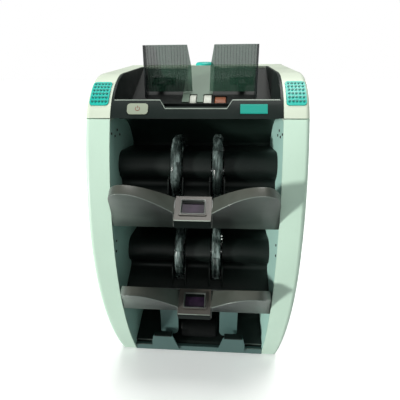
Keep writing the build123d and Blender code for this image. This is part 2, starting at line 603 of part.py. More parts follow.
def lip(x):
    """Front edge of a tray's lip, and how far its rear edge lies behind and above it."""
    x = abs(x)
    rise = sin(pi / 2 * min(max((x - LIP_FLAT_X) / (LIP_CREST_X - LIP_FLAT_X), 0.0), 1.0))
    y = LIP_CENTRE_Y + (LIP_FRONT_Y - LIP_CENTRE_Y) * rise
    z = LIP_CENTRE_Z + (LIP_CREST_Z - LIP_CENTRE_Z) * rise
    past = min(max((x - LIP_CREST_X) / (LIP_END_X - LIP_CREST_X), 0.0), 0.995)
    fall = 1 - sqrt(1 - past ** 2)
    y += LIP_SWEEP * fall
    z -= LIP_FALL * fall
    back = 28 - 18 * rise + 9 * fall
    return (y, z), (y + back, z + 7 + rise - 3 * fall)


def tray_section(x, dy, dz, drop):
    front, rear = ((y, z - drop) for y, z in lip(x))
    floor = TRAY_FLOOR
    t = 2.8
    run = hypot(floor[0] - rear[0], floor[1] - rear[1])
    nx, nz = (floor[1] - rear[1]) / run, -(floor[0] - rear[0]) / run
    under_rear = (rear[0] - 1.0 + nx * t, rear[1] + nz * t - 0.6)
    under_floor = (floor[0] + nx * t, floor[1] + nz * t)
    inside_top = (front[0] + t + 1.2, front[1] - t)
    foot_in, foot = (TRAY_FOOT[0] + t, TRAY_FOOT[1] + 0.6), TRAY_FOOT
    ring = [front, rear, floor, under_floor, under_rear, inside_top, foot_in, foot]
    corners = [(x, y + dy, z + dz) for y, z in ring]
    return make_face(Polyline(*corners, close=True).edges())


def tray(number, dy, dz, drop):
    wing_x = [LIP_FLAT_X + (LIP_CREST_X - LIP_FLAT_X) * step / 5 for step in range(6)]
    wing_x += [LIP_CREST_X + (LIP_END_X - LIP_CREST_X) * part for part in (0.35, 0.62, 0.82, 0.94, 1.0)]
    wing = loft([tray_section(x, dy, dz, drop) for x in wing_x], ruled=True)
    middle = extrude(tray_section(-LIP_FLAT_X, dy, dz, drop), amount=2 * LIP_FLAT_X, dir=(1, 0, 0))
    body = middle + wing + mirror(wing, about=Plane.YZ)
    seat = ((-38, 281), (-40, 292.6), (-40, 320), (-95, 320), (-95, 276.6), (-73, 276.6), WEDGE_NOSE)
    seat_half = DISPLAY_W / 2 + 0.1
    seat = outline(*shifted(seat, dy, dz - drop))
    save(f"tray_{number}", body - solid_x(seat, -seat_half, seat_half))


def display_prism(dy, dz):
    """Wedge that the display stands in: a sloping top and a front that leans back under it."""
    points = shifted(((-40, 292.6), (-73, 276.6), WEDGE_NOSE, (-38, 281)), dy, dz)
    return solid_x(outline(*points), -DISPLAY_W / 2, DISPLAY_W / 2)


def displays():
    """A wedge on each tray with a raised frame, a dark window in it and a board behind that."""
    bezels, lenses, boards = [], [], [main_board()]
    run = hypot(33, 16)
    for (dy, dz), drop in zip(TRAYS, LIP_DROP):
        dz -= drop
        plane = Plane(origin=(0, -56.5 + dy, 284.6 + dz), x_dir=(1, 0, 0),
                      z_dir=(0, -16 / run, 33 / run)) * Pos(0, 2, 0)
        bezel = display_prism(dy, dz)
        bezel = fillet(bezel.edges().filter_by(Axis.X).sort_by(Axis.Y)[0:1], 2.0)
        bezel += extrude(plane * Pos(0, 0, -0.5) * RectangleRounded(33, 25, 2.5), amount=1.7)
        bezel -= extrude(plane * Pos(0, 0, 0.35) * RectangleRounded(29.5, 21.5, 1.8), amount=3)
        bezel -= extrude(plane * Pos(0, 0, -3.2) * RectangleRounded(26, 18, 1.2), amount=8)
        bezels.append(bezel - extrude(plane * Pos(0, 0, -5.4) * Rectangle(29.2, 14.2), amount=2.21))
        lenses.append(extrude(plane * Pos(0, 0, -3.19) * RectangleRounded(25.9, 17.9, 1.15), amount=2.4))
        boards.append(extrude(plane * Pos(0, 0, -5.3) * Rectangle(29, 14), amount=1.6))
    save("display_bezels", *bezels)
    save("display_lenses", *lenses)
    save("circuit_boards", *boards)


def reject_pocket():
    half = POCKET_HALF - 0.1
    floor = sheet_x(((-17, 17.5), (30, 27), (70, 32), (92, 50), (78, 94), (20, 116)), 14, SHEET_T,
                    -half, half)
    floor += block(-half, half, -17.4, -15.2, 10, 17.5)
    save("reject_floor", floor)
    centre = rod_x(19, -30.5, 30.5, 6, 25)
    centre -= block(-40, 40, -40, 60, -10, 24)
    centre = fillet(centre.edges().filter_by(GeomType.CIRCLE), 4)
    centre -= solid_x(outline((-30, 0), (-30, 15.2), (-17, 18.8), (30, 28.3), (50, 31), (50, 0)), -40, 40)
    save("reject_centre_cover", centre)
    stops = []
    for side in (-1, 1):
        face = outline((31 * side, STOP_LOW), (75 * side, STOP_LOW), (75 * side, 25),
                       (72 * side, STOP_TOP), (41 * side, STOP_TOP))
        plate = solid_y(face, -27.4, -24.8)
        cap = block(42 * side, 71 * side, -24.8, -17.8, STOP_TOP - 2.4, STOP_TOP)
        ribs = [block(x * side, (x + 2) * side, -24.8, -18.2, 13.5, STOP_TOP - 2) for x in (45, 67)]
        for rib in ribs:
            plate += rib
        stops.append(plate + cap)
    save("reject_stops", *stops)

    y, z = FLAP_PIVOT
    flaps = []
    for side in (-1, 1):
        leaf = sheet_x(((y, z - 2), (y + 1.5, 80), (y - 1.5, 45), (y - 8, 26)), 60, 1.8,
                       34 * side, 63 * side)
        tip = [edge for edge in leaf.edges()
               if edge.bounding_box().max.Z < 30 and edge.bounding_box().size.X < 0.1
               and edge.bounding_box().size.Y < 3]
        leaf = fillet(tip, 8) - rod_x(3.9, 30 * side, 70 * side, y, z)
        boss = rod_x(4, 34 * side, 63 * side, y, z) - rod_x(2 + RUNNING, 30 * side, 70 * side, y, z)
        flaps.append(leaf + boss)
    save("reject_flaps", *flaps)


# --- transport and drive ----------------------------------------------------------------------
def belt(centre_a, radius_a, centre_b, radius_b, x0, x1, clearance=0.3):
    """A closed belt round two pulleys, standing clear of both."""

    def loop(extra):
        ra, rb = radius_a + extra, radius_b + extra
        dy, dz = centre_b[0] - centre_a[0], centre_b[1] - centre_a[1]
        span = hypot(dy, dz)
        uy, uz = dy / span, dz / span
        lean = asin((ra - rb) / span)

        def touch(centre, radius, side):
            along, across = sin(lean), side * cos(lean)
            return (centre[0] + radius * (uy * along - uz * across),
                    centre[1] + radius * (uz * along + uy * across))

        a_up, a_down = touch(centre_a, ra, 1), touch(centre_a, ra, -1)
        b_up, b_down = touch(centre_b, rb, 1), touch(centre_b, rb, -1)
        a_end = (centre_a[0] - uy * ra, centre_a[1] - uz * ra)
        b_end = (centre_b[0] + uy * rb, centre_b[1] + uz * rb)
        return [Line(a_up, b_up), ThreePointArc(b_up, b_end, b_down), Line(b_down, a_down),
                ThreePointArc(a_down, a_end, a_up)]

    return solid_x(loop(clearance + BELT_T), x0, x1) - solid_x(loop(clearance), x0 - 1, x1 + 1)


def bearings():
    rings = []
    for y, z in SHAFT_HOLES:
        for x0 in (-FRAME_OUT_X - 1, FRAME_OUT_X - 4):
            ring = rod_x(BEARING_R, x0, x0 + 5, y, z)
            rings.append(ring - rod_x(SHAFT_R + RUNNING, x0 - 1, x0 + 6, y, z))
    for y, z in DRUM_YZ:
        y += PINCH_DY
        for x0 in (-POCKET_HALF, POCKET_HALF - 6):
            hold = block(x0, x0 + 6, y - 5, y + 14, z - 6, z + 6)
            rings.append(hold - rod_x(PINCH_PIN_R + RUNNING, x0 - 1, x0 + 7, y, z))
    save("shaft_bearings", *rings)


def transport():
    for number, (y, z) in enumerate(DRUM_YZ, start=1):
        drum = rod_x(DRUM_R, -92, 92, y, z)
        for x in (-92, 92):
            drum -= rod_x(DRUM_R - 4, x - 6, x + 6, y, z)
        drum += rod_x(SHAFT_R, -FRAME_OUT_X - 3, FRAME_OUT_X + 18, y, z)
        pulley = rod_x(PULLEY_SMALL, *BELT_PLANE_OUT, y, z)
        if number == 2:
            pulley += rod_x(PULLEY_BIG, *BELT_PLANE_IN, y, z)
            pulley += rod_x(PULLEY_SMALL, BELT_PLANE_IN[1], BELT_PLANE_OUT[0], y, z)
        save(f"transport_drum_{number}", drum, pulley - rod_x(SHAFT_R, 100, 140, y, z))
        pinch = rod_x(PINCH_PIN_R, -POCKET_HALF + 0.3, POCKET_HALF - 0.3, y + PINCH_DY, z)
        for x in TRANSPORT_BELTS:
            pinch += rod_x(PINCH_R, x - 8, x + 8, y + PINCH_DY, z)
        save(f"pinch_roller_{number}", pinch)
    belts = [belt(DRUM_YZ[0], DRUM_R, DRUM_YZ[1], DRUM_R, x - 7, x + 7) for x in TRANSPORT_BELTS]
    save("transport_belts", *belts)


def drive():
    y, z = MOTOR
    motor = rod_x(20, 48, POCKET_HALF - 3.6, y, z)
    motor += block(POCKET_HALF - 3.6, POCKET_HALF - 0.1, y - 24, y + 24, z - 24, z + 24)
    motor += rod_x(MOTOR_BOSS_R, POCKET_HALF - 0.1, FRAME_OUT_X + 1, y, z)
    save("drive_motor", motor - rod_x(MOTOR_PIN_R + RUNNING, 90, 120, y, z))
    pulley = rod_x(MOTOR_PULLEY, *BELT_PLANE_IN, y, z)
    save("motor_pulley", pulley + rod_x(MOTOR_PIN_R, 92, BELT_PLANE_IN[1], y, z))
    belts = [belt(MOTOR, MOTOR_PULLEY, DRUM_YZ[1], PULLEY_BIG, BELT_PLANE_IN[0] + 0.5,
                  BELT_PLANE_IN[1] - 0.5)]
    for drum, (dy, dz) in zip(DRUM_YZ, POCKETS):
        stacker_yz = (STACKER[0] + dy, STACKER[1] + dz)
        belts.append(belt(drum, PULLEY_SMALL, stacker_yz, PULLEY_BIG, BELT_PLANE_OUT[0] + 0.5,
                          BELT_PLANE_OUT[1] - 0.5))
    save("timing_belts", *belts)


def diverters():
    for number, (y, z) in enumerate(GATE_YZ, start=1):
        gate = rod_x(3, -POCKET_HALF + 6, POCKET_HALF - 6, y, z)
        gate += rod_x(GATE_PIN_R, -FRAME_OUT_X - 2, FRAME_X - 0.2, y, z)
        for step in range(7):
            x = -72 + 24 * step
            tooth = solid_x(outline((y - 2.5, z + 1), (y + 2.5, z - 1), (y + 8, z + 10), (y + 5, z + 15)),
                            x - 3, x + 3)
            gate += tooth
        lever = block(-FRAME_OUT_X - 4, -FRAME_OUT_X - 2, y - 2.5, y + 14, z - 2.5, z + 2.5)
        save(f"diverter_gate_{number}", gate + lever)
    coils = []
    for y, z in GATE_YZ:
        body = block(-FRAME_OUT_X - 14, -FRAME_OUT_X, y - 6, y + 16, z - 40, z - 12)
        coils.append(body + rod_z(2.5, -FRAME_OUT_X - 7, y + 11, z - 12, z - 8))
    save("gate_solenoids", *coils)


def main_board():
    board = block(-FRAME_OUT_X - 5.6, -FRAME_OUT_X - 4, 75, 215, 30, 120)
    chips = [(95, 50, 18, 14, 3), (140, 75, 26, 26, 2.4), (185, 45, 16, 22, 8), (110, 98, 30, 8, 7),
             (190, 98, 12, 20, 4)]
    for y, z, wide, high, tall in chips:
        board += block(-FRAME_OUT_X - 5.6 - tall, -FRAME_OUT_X - 5.5, y - wide / 2, y + wide / 2,
                       z - high / 2, z + high / 2)
    posts = [rod_x(3, -FRAME_OUT_X - 4, -FRAME_OUT_X, y, z) for y in (80, 210) for z in (35, 115)]
    for post in posts:
        board += post
    return board


def power_and_sensors():
    base_top = GROUND_GAP + 2 * SKIN
    supply = block(-98, -28, 100, 212, base_top, base_top + 3)
    supply += block(-92, -34, 106, 206, base_top + 3, base_top + 22)
    supply += rod_z(9, -78, 126, base_top + 20, base_top + 42)
    supply += block(-66, -40, 150, 184, base_top + 20, base_top + 38)
    save("power_supply", supply)
    sensor = block(-92, 92, 124, 131, 236, 254)
    sensor += block(-POCKET_HALF, POCKET_HALF, 120, 124, 240, 250)
    save("note_sensor_bar", sensor)

    inner = BACK_Y - SKIN
    x = INLET_X
    inlet = block(x - 24.9, x + 24.9, inner, BACK_Y, 34.1, 61.9)
    inlet += block(x - 15, x + 15, inner - 24, inner, 37, 59)
    inlet -= block(x - 12.5, x + 12.5, inner - 20, BACK_Y + 1, 39.5, 56.5)
    for dx, z in ((-7, 46), (0, 50), (7, 46)):
        inlet += block(x + dx - 1, x + dx + 1, inner - 21, inner - 4, z - 2.5, z + 2.5)
    x = SWITCH_X
    frame = block(INLET_X + 24.9, x + 8.9, inner - 14, BACK_Y, 34.1, 61.9)
    frame -= block(x - 5.2, x + 5.2, inner - 12, BACK_Y + 1, 39.4, 56.6)
    save("power_inlet", inlet + frame + rod_x(1.2, x - 5.3, x + 5.3, BACK_Y - 6, 48))
    rocker = solid_x(outline((BACK_Y - 0.2, 55), (BACK_Y - 1.9, 48), (BACK_Y - 0.2, 41),
                             (BACK_Y - 6.2, 43), (BACK_Y - 9, 48), (BACK_Y - 6.2, 53)), x - 4.8, x + 4.8)
    save("power_switch_rocker", rocker - rod_x(1.2 + RUNNING, x - 6, x + 6, BACK_Y - 6, 48))

    frame = block(FAN_X - 30, FAN_X + 30, inner - 15, inner, FAN_Z - 30, FAN_Z + 30)
    frame -= rod_y(28, FAN_X, inner - 16, inner + 1, FAN_Z)
    frame += rod_y(11, FAN_X, inner - 15, inner - 12.5, FAN_Z)
    for angle in (45, 135, 225, 315):
        strut = Pos(FAN_X, inner - 13.75, FAN_Z) * Rot(0, angle, 0) * Pos(19, 0, 0) * Box(20, 2.5, 3)
        frame += strut
    frame -= rod_y(1.5 + RUNNING, FAN_X, inner - 16, inner - 10, FAN_Z)
    save("fan_frame", frame)
    rotor = rod_y(10, FAN_X, inner - 12, inner - 2, FAN_Z)
    rotor += rod_y(1.5, FAN_X, inner - 14.5, inner - 12, FAN_Z)
    for step in range(7):
        blade = Pos(17.5, 0, 0) * Rot(35, 0, 0) * Box(17, 8, 1.4)
        rotor += Pos(FAN_X, inner - 7, FAN_Z) * Rot(0, 360 / 7 * step, 0) * blade
    save("fan_rotor", rotor)


# --- build ------------------------------------------------------------------------------------
side_panels()
inner_walls()
frame_plates()
base_tray()
rear_cover()
rear_top_cap()
top_cover()
latch_pads()
hopper_bezel()
hopper_well()
pickup_rollers()
guide_plates()
gap_knob()
pocket_walls()
displays()
for index in (1, 2):
    stacker(index, *POCKETS[index - 1])
    tray(index, *TRAYS[index - 1], LIP_DROP[index - 1])
reject_pocket()
bearings()
transport()
drive()
diverters()
power_and_sensors()
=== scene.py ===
import json
import math

import bmesh
import bpy
from mathutils import Matrix, Vector


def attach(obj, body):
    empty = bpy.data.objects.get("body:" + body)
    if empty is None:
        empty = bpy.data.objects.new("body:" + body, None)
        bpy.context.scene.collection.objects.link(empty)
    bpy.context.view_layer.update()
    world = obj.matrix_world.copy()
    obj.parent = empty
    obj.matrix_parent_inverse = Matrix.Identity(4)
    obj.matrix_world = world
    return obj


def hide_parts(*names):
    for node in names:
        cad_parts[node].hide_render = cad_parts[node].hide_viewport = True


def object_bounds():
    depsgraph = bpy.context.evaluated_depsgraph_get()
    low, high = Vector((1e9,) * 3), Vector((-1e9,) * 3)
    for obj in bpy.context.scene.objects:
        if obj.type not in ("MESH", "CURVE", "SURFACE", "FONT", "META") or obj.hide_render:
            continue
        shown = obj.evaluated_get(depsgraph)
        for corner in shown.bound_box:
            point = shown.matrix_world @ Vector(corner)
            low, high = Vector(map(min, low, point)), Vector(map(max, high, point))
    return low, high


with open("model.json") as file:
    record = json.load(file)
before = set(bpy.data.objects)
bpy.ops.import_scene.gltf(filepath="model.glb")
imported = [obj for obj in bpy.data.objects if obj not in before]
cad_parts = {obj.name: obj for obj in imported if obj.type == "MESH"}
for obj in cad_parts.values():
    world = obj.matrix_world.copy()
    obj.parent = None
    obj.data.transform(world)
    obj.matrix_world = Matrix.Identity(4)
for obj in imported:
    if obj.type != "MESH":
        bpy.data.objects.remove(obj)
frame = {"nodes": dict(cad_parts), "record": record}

CAD_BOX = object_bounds()
NODES = frame["nodes"]
MM = 0.001


# --- camera, light and floor ------------------------------------------------------------------
def camera():
    """The photograph's view: close, from above and a little to the right of the middle."""
    pitch, yaw, roll = math.radians(28.13), math.radians(-4.16), math.radians(-0.74)
    forward = Vector((math.sin(yaw) * math.cos(pitch), math.cos(yaw) * math.cos(pitch), -math.sin(pitch)))
    right = Vector((math.cos(yaw), -math.sin(yaw), 0.0))
    up = right.cross(forward)
    right_r = right * math.cos(roll) + up * math.sin(roll)
    up_r = up * math.cos(roll) - right * math.sin(roll)
    data = bpy.data.cameras.new("camera")
    data.sensor_width = 36.0
    data.lens = 29.43
    data.shift_y = 0.0375
    data.clip_start = 0.01
    obj = bpy.data.objects.new("camera", data)
    turn = Matrix((right_r, up_r, -forward)).transposed().to_4x4()
    obj.matrix_world = Matrix.Translation((0.0328, -0.4741, 0.4582)) @ turn
    bpy.context.scene.collection.objects.link(obj)
    bpy.context.scene.camera = obj


def aimed(name, data, place, target):
    obj = bpy.data.objects.new(name, data)
    aim = (Vector(target) - Vector(place)).to_track_quat("-Z", "Y")
    obj.matrix_world = Matrix.Translation(place) @ aim.to_matrix().to_4x4()
    bpy.context.scene.collection.objects.link(obj)


def area_light(name, place, target, size, watts, colour):
    data = bpy.data.lights.new(name, "AREA")
    data.shape = "RECTANGLE"
    data.size, data.size_y = size
    data.energy = watts
    data.color = colour
    aimed(name, data, place, target)


def distant_light(name, place, strength, spread, colour):
    """An even light from far away; the spread in degrees softens its shadows."""
    data = bpy.data.lights.new(name, "SUN")
    data.energy = strength
    data.angle = math.radians(spread)
    data.color = colour
    aimed(name, data, place, (0, 0, 0))


def studio():
    distant_light("key_light", (-1.5, -1.0, 0.22), 2.9, 7, (1.0, 1.0, 0.95))
    distant_light("top_light", (0.08, 0.22, 1.0), 2.5, 35, (1.0, 1.0, 0.97))
    area_light("soft_box", (-0.5, -1.1, 0.75), (0.0, 0.0, 0.25), (0.6, 0.4), 0.6, (0.93, 1.0, 0.98))
    world = bpy.data.worlds.new("studio")
    bpy.context.scene.world = world
    world.use_nodes = True
    tree = world.node_tree
    background = tree.nodes["Background"]
    background.inputs["Color"].default_value = (0.93, 1.0, 0.96, 1)
    background.inputs["Strength"].default_value = 0.31
    paper = tree.nodes.new("ShaderNodeBackground")
    paper.inputs["Color"].default_value = (1.0, 1.0, 1.0, 1)
    seen = tree.nodes.new("ShaderNodeLightPath").outputs["Is Camera Ray"]
    both = tree.nodes.new("ShaderNodeMixShader")
    tree.links.new(seen, both.inputs["Fac"])
    tree.links.new(background.outputs["Background"], both.inputs[1])
    tree.links.new(paper.outputs["Background"], both.inputs[2])
    tree.links.new(both.outputs["Shader"], tree.nodes["World Output"].inputs["Surface"])
    bpy.context.scene.view_settings.view_transform = "Standard"


def floor():
    low = CAD_BOX[0][2]
    mesh = bpy.data.meshes.new("floor")
    half = 4.0
    corners = [(-half, -half, low), (half, -half, low), (half, half, low), (-half, half, low)]
    mesh.from_pydata(corners, [], [(0, 1, 2, 3)])
    obj = bpy.data.objects.new("floor", mesh)
    bpy.context.scene.collection.objects.link(obj)
    nodes, shader = new_material("floor_paper")
    shader.inputs["Base Color"].default_value = (0.93, 0.945, 0.94, 1)
    shader.inputs["Roughness"].default_value = 0.9
    shader.inputs["Emission Color"].default_value = (1.0, 1.0, 1.0, 1)
    shader.inputs["Emission Strength"].default_value = 0.30
    mesh.materials.append(nodes)
    obj.visible_diffuse = False


# --- materials --------------------------------------------------------------------------------
def new_material(name):
    material = bpy.data.materials.new(name)
    material.use_nodes = True
    return material, material.node_tree.nodes["Principled BSDF"]


class Maker:
    """A small helper that adds nodes to one material and links them."""

    def __init__(self, name):
        self.material, self.shader = new_material(name)
        self.tree = self.material.node_tree
        self.place = self.add("ShaderNodeTexCoord").outputs["Object"]

    def add(self, kind, **values):
        node = self.tree.nodes.new(kind)
        for key, value in values.items():
            setattr(node, key, value)
        return node

    def link(self, a, b):
        self.tree.links.new(a, b)

    def stretched(self, scale):
        mapping = self.add("ShaderNodeMapping")
        mapping.inputs["Scale"].default_value = scale
        self.link(self.place, mapping.inputs["Vector"])
        return mapping.outputs["Vector"]

    def noise(self, scale, detail=3.0, vector=None, rough=0.5):
        node = self.add("ShaderNodeTexNoise")
        node.inputs["Scale"].default_value = scale
        node.inputs["Detail"].default_value = detail
        node.inputs["Roughness"].default_value = rough
        self.link(vector or self.place, node.inputs["Vector"])
        return node.outputs["Fac"]

    def ramp(self, source, stops):
        node = self.add("ShaderNodeValToRGB")
        while len(node.color_ramp.elements) < len(stops):
            node.color_ramp.elements.new(0.5)
        for element, (where, colour) in zip(node.color_ramp.elements, stops):
            element.position = where
            element.color = colour if len(colour) == 4 else (*colour, 1)
        self.link(source, node.inputs["Fac"])
        return node.outputs["Color"]

    def span(self, source, low, high, from_low=0.3, from_high=0.7):
        node = self.add("ShaderNodeMapRange")
        node.inputs["From Min"].default_value = from_low
        node.inputs["From Max"].default_value = from_high
        node.inputs["To Min"].default_value = low
        node.inputs["To Max"].default_value = high
        self.link(source, node.inputs["Value"])
        return node.outputs["Result"]

    def mix(self, factor, a, b):
        node = self.add("ShaderNodeMix", data_type="RGBA")
        for socket, value in ((node.inputs["Factor"], factor), (node.inputs["A"], a), (node.inputs["B"], b)):
            if isinstance(value, bpy.types.NodeSocket):
                self.link(value, socket)
            else:
                socket.default_value = (*value, 1) if isinstance(value, tuple) else value
        return node.outputs["Result"]

    def facing(self, axis, low, high, from_low, from_high):
        """A value that follows how far the surface faces along one of the world's axes."""
        split = self.add("ShaderNodeSeparateXYZ")
        self.link(self.add("ShaderNodeNewGeometry").outputs["Normal"], split.inputs["Vector"])
        return self.span(split.outputs[axis], low, high, from_low, from_high)

    def times(self, a, b):
        node = self.add("ShaderNodeMath", operation="MULTIPLY")
        self.link(a, node.inputs[0])
        self.link(b, node.inputs[1])
        return node.outputs["Value"]

    def bump(self, height, strength, distance, under=None):
        node = self.add("ShaderNodeBump")
        node.inputs["Strength"].default_value = strength
        node.inputs["Distance"].default_value = distance
        self.link(height, node.inputs["Height"])
        if under is not None:
            self.link(under, node.inputs["Normal"])
        return node.outputs["Normal"]

    def set(self, **values):
        names = {"colour": "Base Color", "rough": "Roughness", "metal": "Metallic", "normal": "Normal",
                 "coat": "Coat Weight", "coat_rough": "Coat Roughness", "alpha": "Alpha",
                 "specular": "Specular IOR Level"}
        for key, value in values.items():
            socket = self.shader.inputs[names[key]]
            if isinstance(value, bpy.types.NodeSocket):
                self.link(value, socket)
            else:
                socket.default_value = (*value, 1) if isinstance(value, tuple) else value
        return self.material


def tint(colour, factor):
    return tuple(min(1.0, part * factor) for part in colour)


def moulded(name, colour, rough=0.42, grain=0.35, grain_scale=900.0, grime=0.04, **extra):
    """Textured injection-moulded plastic: spark-eroded grain, faint mottling, and edges lightened as a
    painted highlight.
    """
    m = Maker(name)
    cloud = m.noise(9, 4)
    speck = m.noise(260, 2)
    base = m.ramp(cloud, [(0.3, tint(colour, 1 - grime)), (0.7, tint(colour, 1 + grime))])
    base = m.mix(m.span(speck, 0.0, 0.10, 0.55, 0.8), base, tint(colour, 0.8))
    # Pointy edges are painted lighter: a painted highlight along the edges.
    painted_edge_highlight = m.add("ShaderNodeNewGeometry").outputs["Pointiness"]
    base = m.mix(m.span(painted_edge_highlight, 0.0, 0.35, 0.53, 0.62), base, tint(colour, 1.18))
    fine = m.noise(grain_scale, 2)
    broad = m.noise(30, 2)
    normal = m.bump(broad, 0.02, 0.002, m.bump(fine, grain, 0.0002))
    return m.set(colour=base, rough=m.span(m.noise(45, 4), rough - 0.05, rough + 0.07), normal=normal,
                 **extra)


def gloss(name, colour, rough=0.16, smudge=0.16, **extra):
    """Polished moulding with finger smudges, fine hairline scratches and dust."""
    m = Maker(name)
    smear = m.noise(14, 5, m.stretched((1.0, 1.6, 2.2)), 0.6)
    scratch = m.noise(60, 8, m.stretched((0.7, 9.0, 9.0)), 0.7)
    dust = m.noise(700, 2)
    base = m.ramp(smear, [(0.35, tint(colour, 0.85)), (0.7, tint(colour, 1.3))])
    base = m.mix(m.span(dust, 0.0, 0.25, 0.66, 0.78), base, (0.10, 0.12, 0.12))
    rough_out = m.span(smear, rough, rough + smudge)
    normal = m.bump(scratch, 0.04, 0.0004, m.bump(m.noise(22, 2), 0.05, 0.002))
    return m.set(colour=base, rough=rough_out, normal=normal, **extra)


def smoke(name, light, dark, rough, centre):
    """Smoky satin plastic, tinted through, with flow marks running across the moulding.

    Upright faces carry painted shade, darker near the middle, fading over the given span of half-widths.
    """
    m = Maker(name)
    flow = m.noise(16, 5, m.stretched((0.5, 2.0, 2.0)), 0.6)
    base = m.ramp(flow, [(0.3, dark), (0.72, light)])
    base = m.mix(m.span(m.noise(500, 2), 0.0, 0.2, 0.62, 0.8), base, tint(light, 1.3))
    split = m.add("ShaderNodeSeparateXYZ")
    m.link(m.place, split.inputs["Vector"])
    across = m.add("ShaderNodeMath", operation="ABSOLUTE")
    m.link(split.outputs["X"], across.inputs[0])
    # Painted shade: upright faces are painted darker towards the middle, not made thicker there.
    thick = m.span(across.outputs["Value"], 0.9, 0.0, *centre)
    upright = m.facing("Z", 1.0, 0.0, 0.35, 0.6)
    base = m.mix(m.times(thick, upright), base, tint(dark, 0.2))
    # Upward faces take a warm grey-brown painted tone that stands in for how light falls on the ribbon's top.
    base = m.mix(m.facing("Z", 0.0, 0.65, 0.45, 0.8), base, (0.072, 0.066, 0.054))
    # Pointy edges are painted much lighter: a painted highlight along the tray's edges.
    painted_edge_highlight = m.add("ShaderNodeNewGeometry").outputs["Pointiness"]
    base = m.mix(m.span(painted_edge_highlight, 0.0, 0.5, 0.52, 0.6), base, tint(light, 1.8))
    normal = m.bump(m.noise(1100, 2), 0.12, 0.0002, m.bump(flow, 0.06, 0.001))
    return m.set(colour=base, rough=m.span(flow, rough, rough + 0.12), normal=normal, coat=0.1,
                 coat_rough=0.25, specular=0.35)


def display_body(name):
    """The display's wedge: warm grey above, and painted shade, almost black, on the undercut front below its
    lip.
    """
    m = Maker(name)
    patch = m.noise(40, 4)
    top = m.ramp(patch, [(0.3, (0.062, 0.056, 0.048)), (0.7, (0.090, 0.080, 0.070))])
    # Faces turned away from the sky are painted almost black: painted shade under the lip.
    base = m.mix(m.facing("Z", 1.0, 0.0, 0.3, 0.55), top, (0.006, 0.010, 0.009))
    normal = m.bump(m.noise(1100, 2), 0.1, 0.0002)
    sheen = m.facing("Z", 0.02, 0.25, 0.3, 0.55)
    return m.set(colour=base, rough=m.span(patch, 0.26, 0.36), normal=normal, specular=sheen)


def vane_plastic(name):
    """Flexible vanes with light streaks painted into their colour as painted highlights; roughness and bump
    follow the same streaks.
    """
    m = Maker(name)
    streak = m.noise(70, 6, m.stretched((2.2, 0.8, 0.35)), 0.65)
    # The bright end of this ramp is a painted highlight along the vanes.
    base = m.ramp(streak, [(0.36, (0.006, 0.010, 0.010)), (0.50, (0.050, 0.070, 0.066)),
                           (0.64, (0.30, 0.38, 0.37))])
    return m.set(colour=base, rough=m.span(streak, 0.20, 0.38), normal=m.bump(streak, 0.25, 0.0008))


def smoked_clear(name, low, high, alpha, rough=0.16):
    """See-through smoked sheet of the note guides, with flow streaks in its tint."""
    m = Maker(name)
    flow = m.noise(24, 4, m.stretched((4, 1, 0.6)))
    base = m.ramp(flow, [(0.3, low), (0.7, high)])
    return m.set(colour=base, rough=m.span(m.noise(60, 4), rough - 0.04, rough + 0.08), alpha=alpha,
                 coat=0.12, coat_rough=0.08, specular=0.3, normal=m.bump(flow, 0.03, 0.001))


def steel(name, colour=(0.56, 0.57, 0.58), rough=0.3):
    m = Maker(name)
    brush = m.noise(120, 6, m.stretched((0.15, 6.0, 6.0)), 0.7)
    base = m.ramp(brush, [(0.3, tint(colour, 0.8)), (0.7, tint(colour, 1.15))])
    return m.set(colour=base, rough=m.span(brush, rough - 0.08, rough + 0.12), metal=1.0,
                 normal=m.bump(brush, 0.08, 0.0002))


def rubber(name, colour, rough=0.62):
    m = Maker(name)
    patch = m.noise(60, 4)
    base = m.ramp(patch, [(0.3, tint(colour, 0.8)), (0.75, tint(colour, 1.12))])
    normal = m.bump(m.noise(1400, 2), 0.35, 0.0002)
    return m.set(colour=base, rough=m.span(patch, rough - 0.08, rough + 0.12), normal=normal)


def glass_window(name):
    m = Maker(name)
    glow = m.noise(90, 3)
    base = m.ramp(glow, [(0.3, (0.010, 0.006, 0.014)), (0.75, (0.034, 0.018, 0.042))])
    return m.set(colour=base, rough=m.span(m.noise(50, 4), 0.10, 0.2), specular=0.07,
                 normal=m.bump(glow, 0.02, 0.001))


def board(name):
    m = Maker(name)
    cell = m.add("ShaderNodeTexVoronoi", feature="DISTANCE_TO_EDGE")
    cell.inputs["Scale"].default_value = 180
    m.link(m.place, cell.inputs["Vector"])
    base = m.ramp(cell.outputs["Distance"], [(0.02, (0.10, 0.33, 0.16)), (0.08, (0.015, 0.12, 0.05))])
    return m.set(colour=base, rough=0.38, normal=m.bump(cell.outputs["Distance"], 0.2, 0.0003))


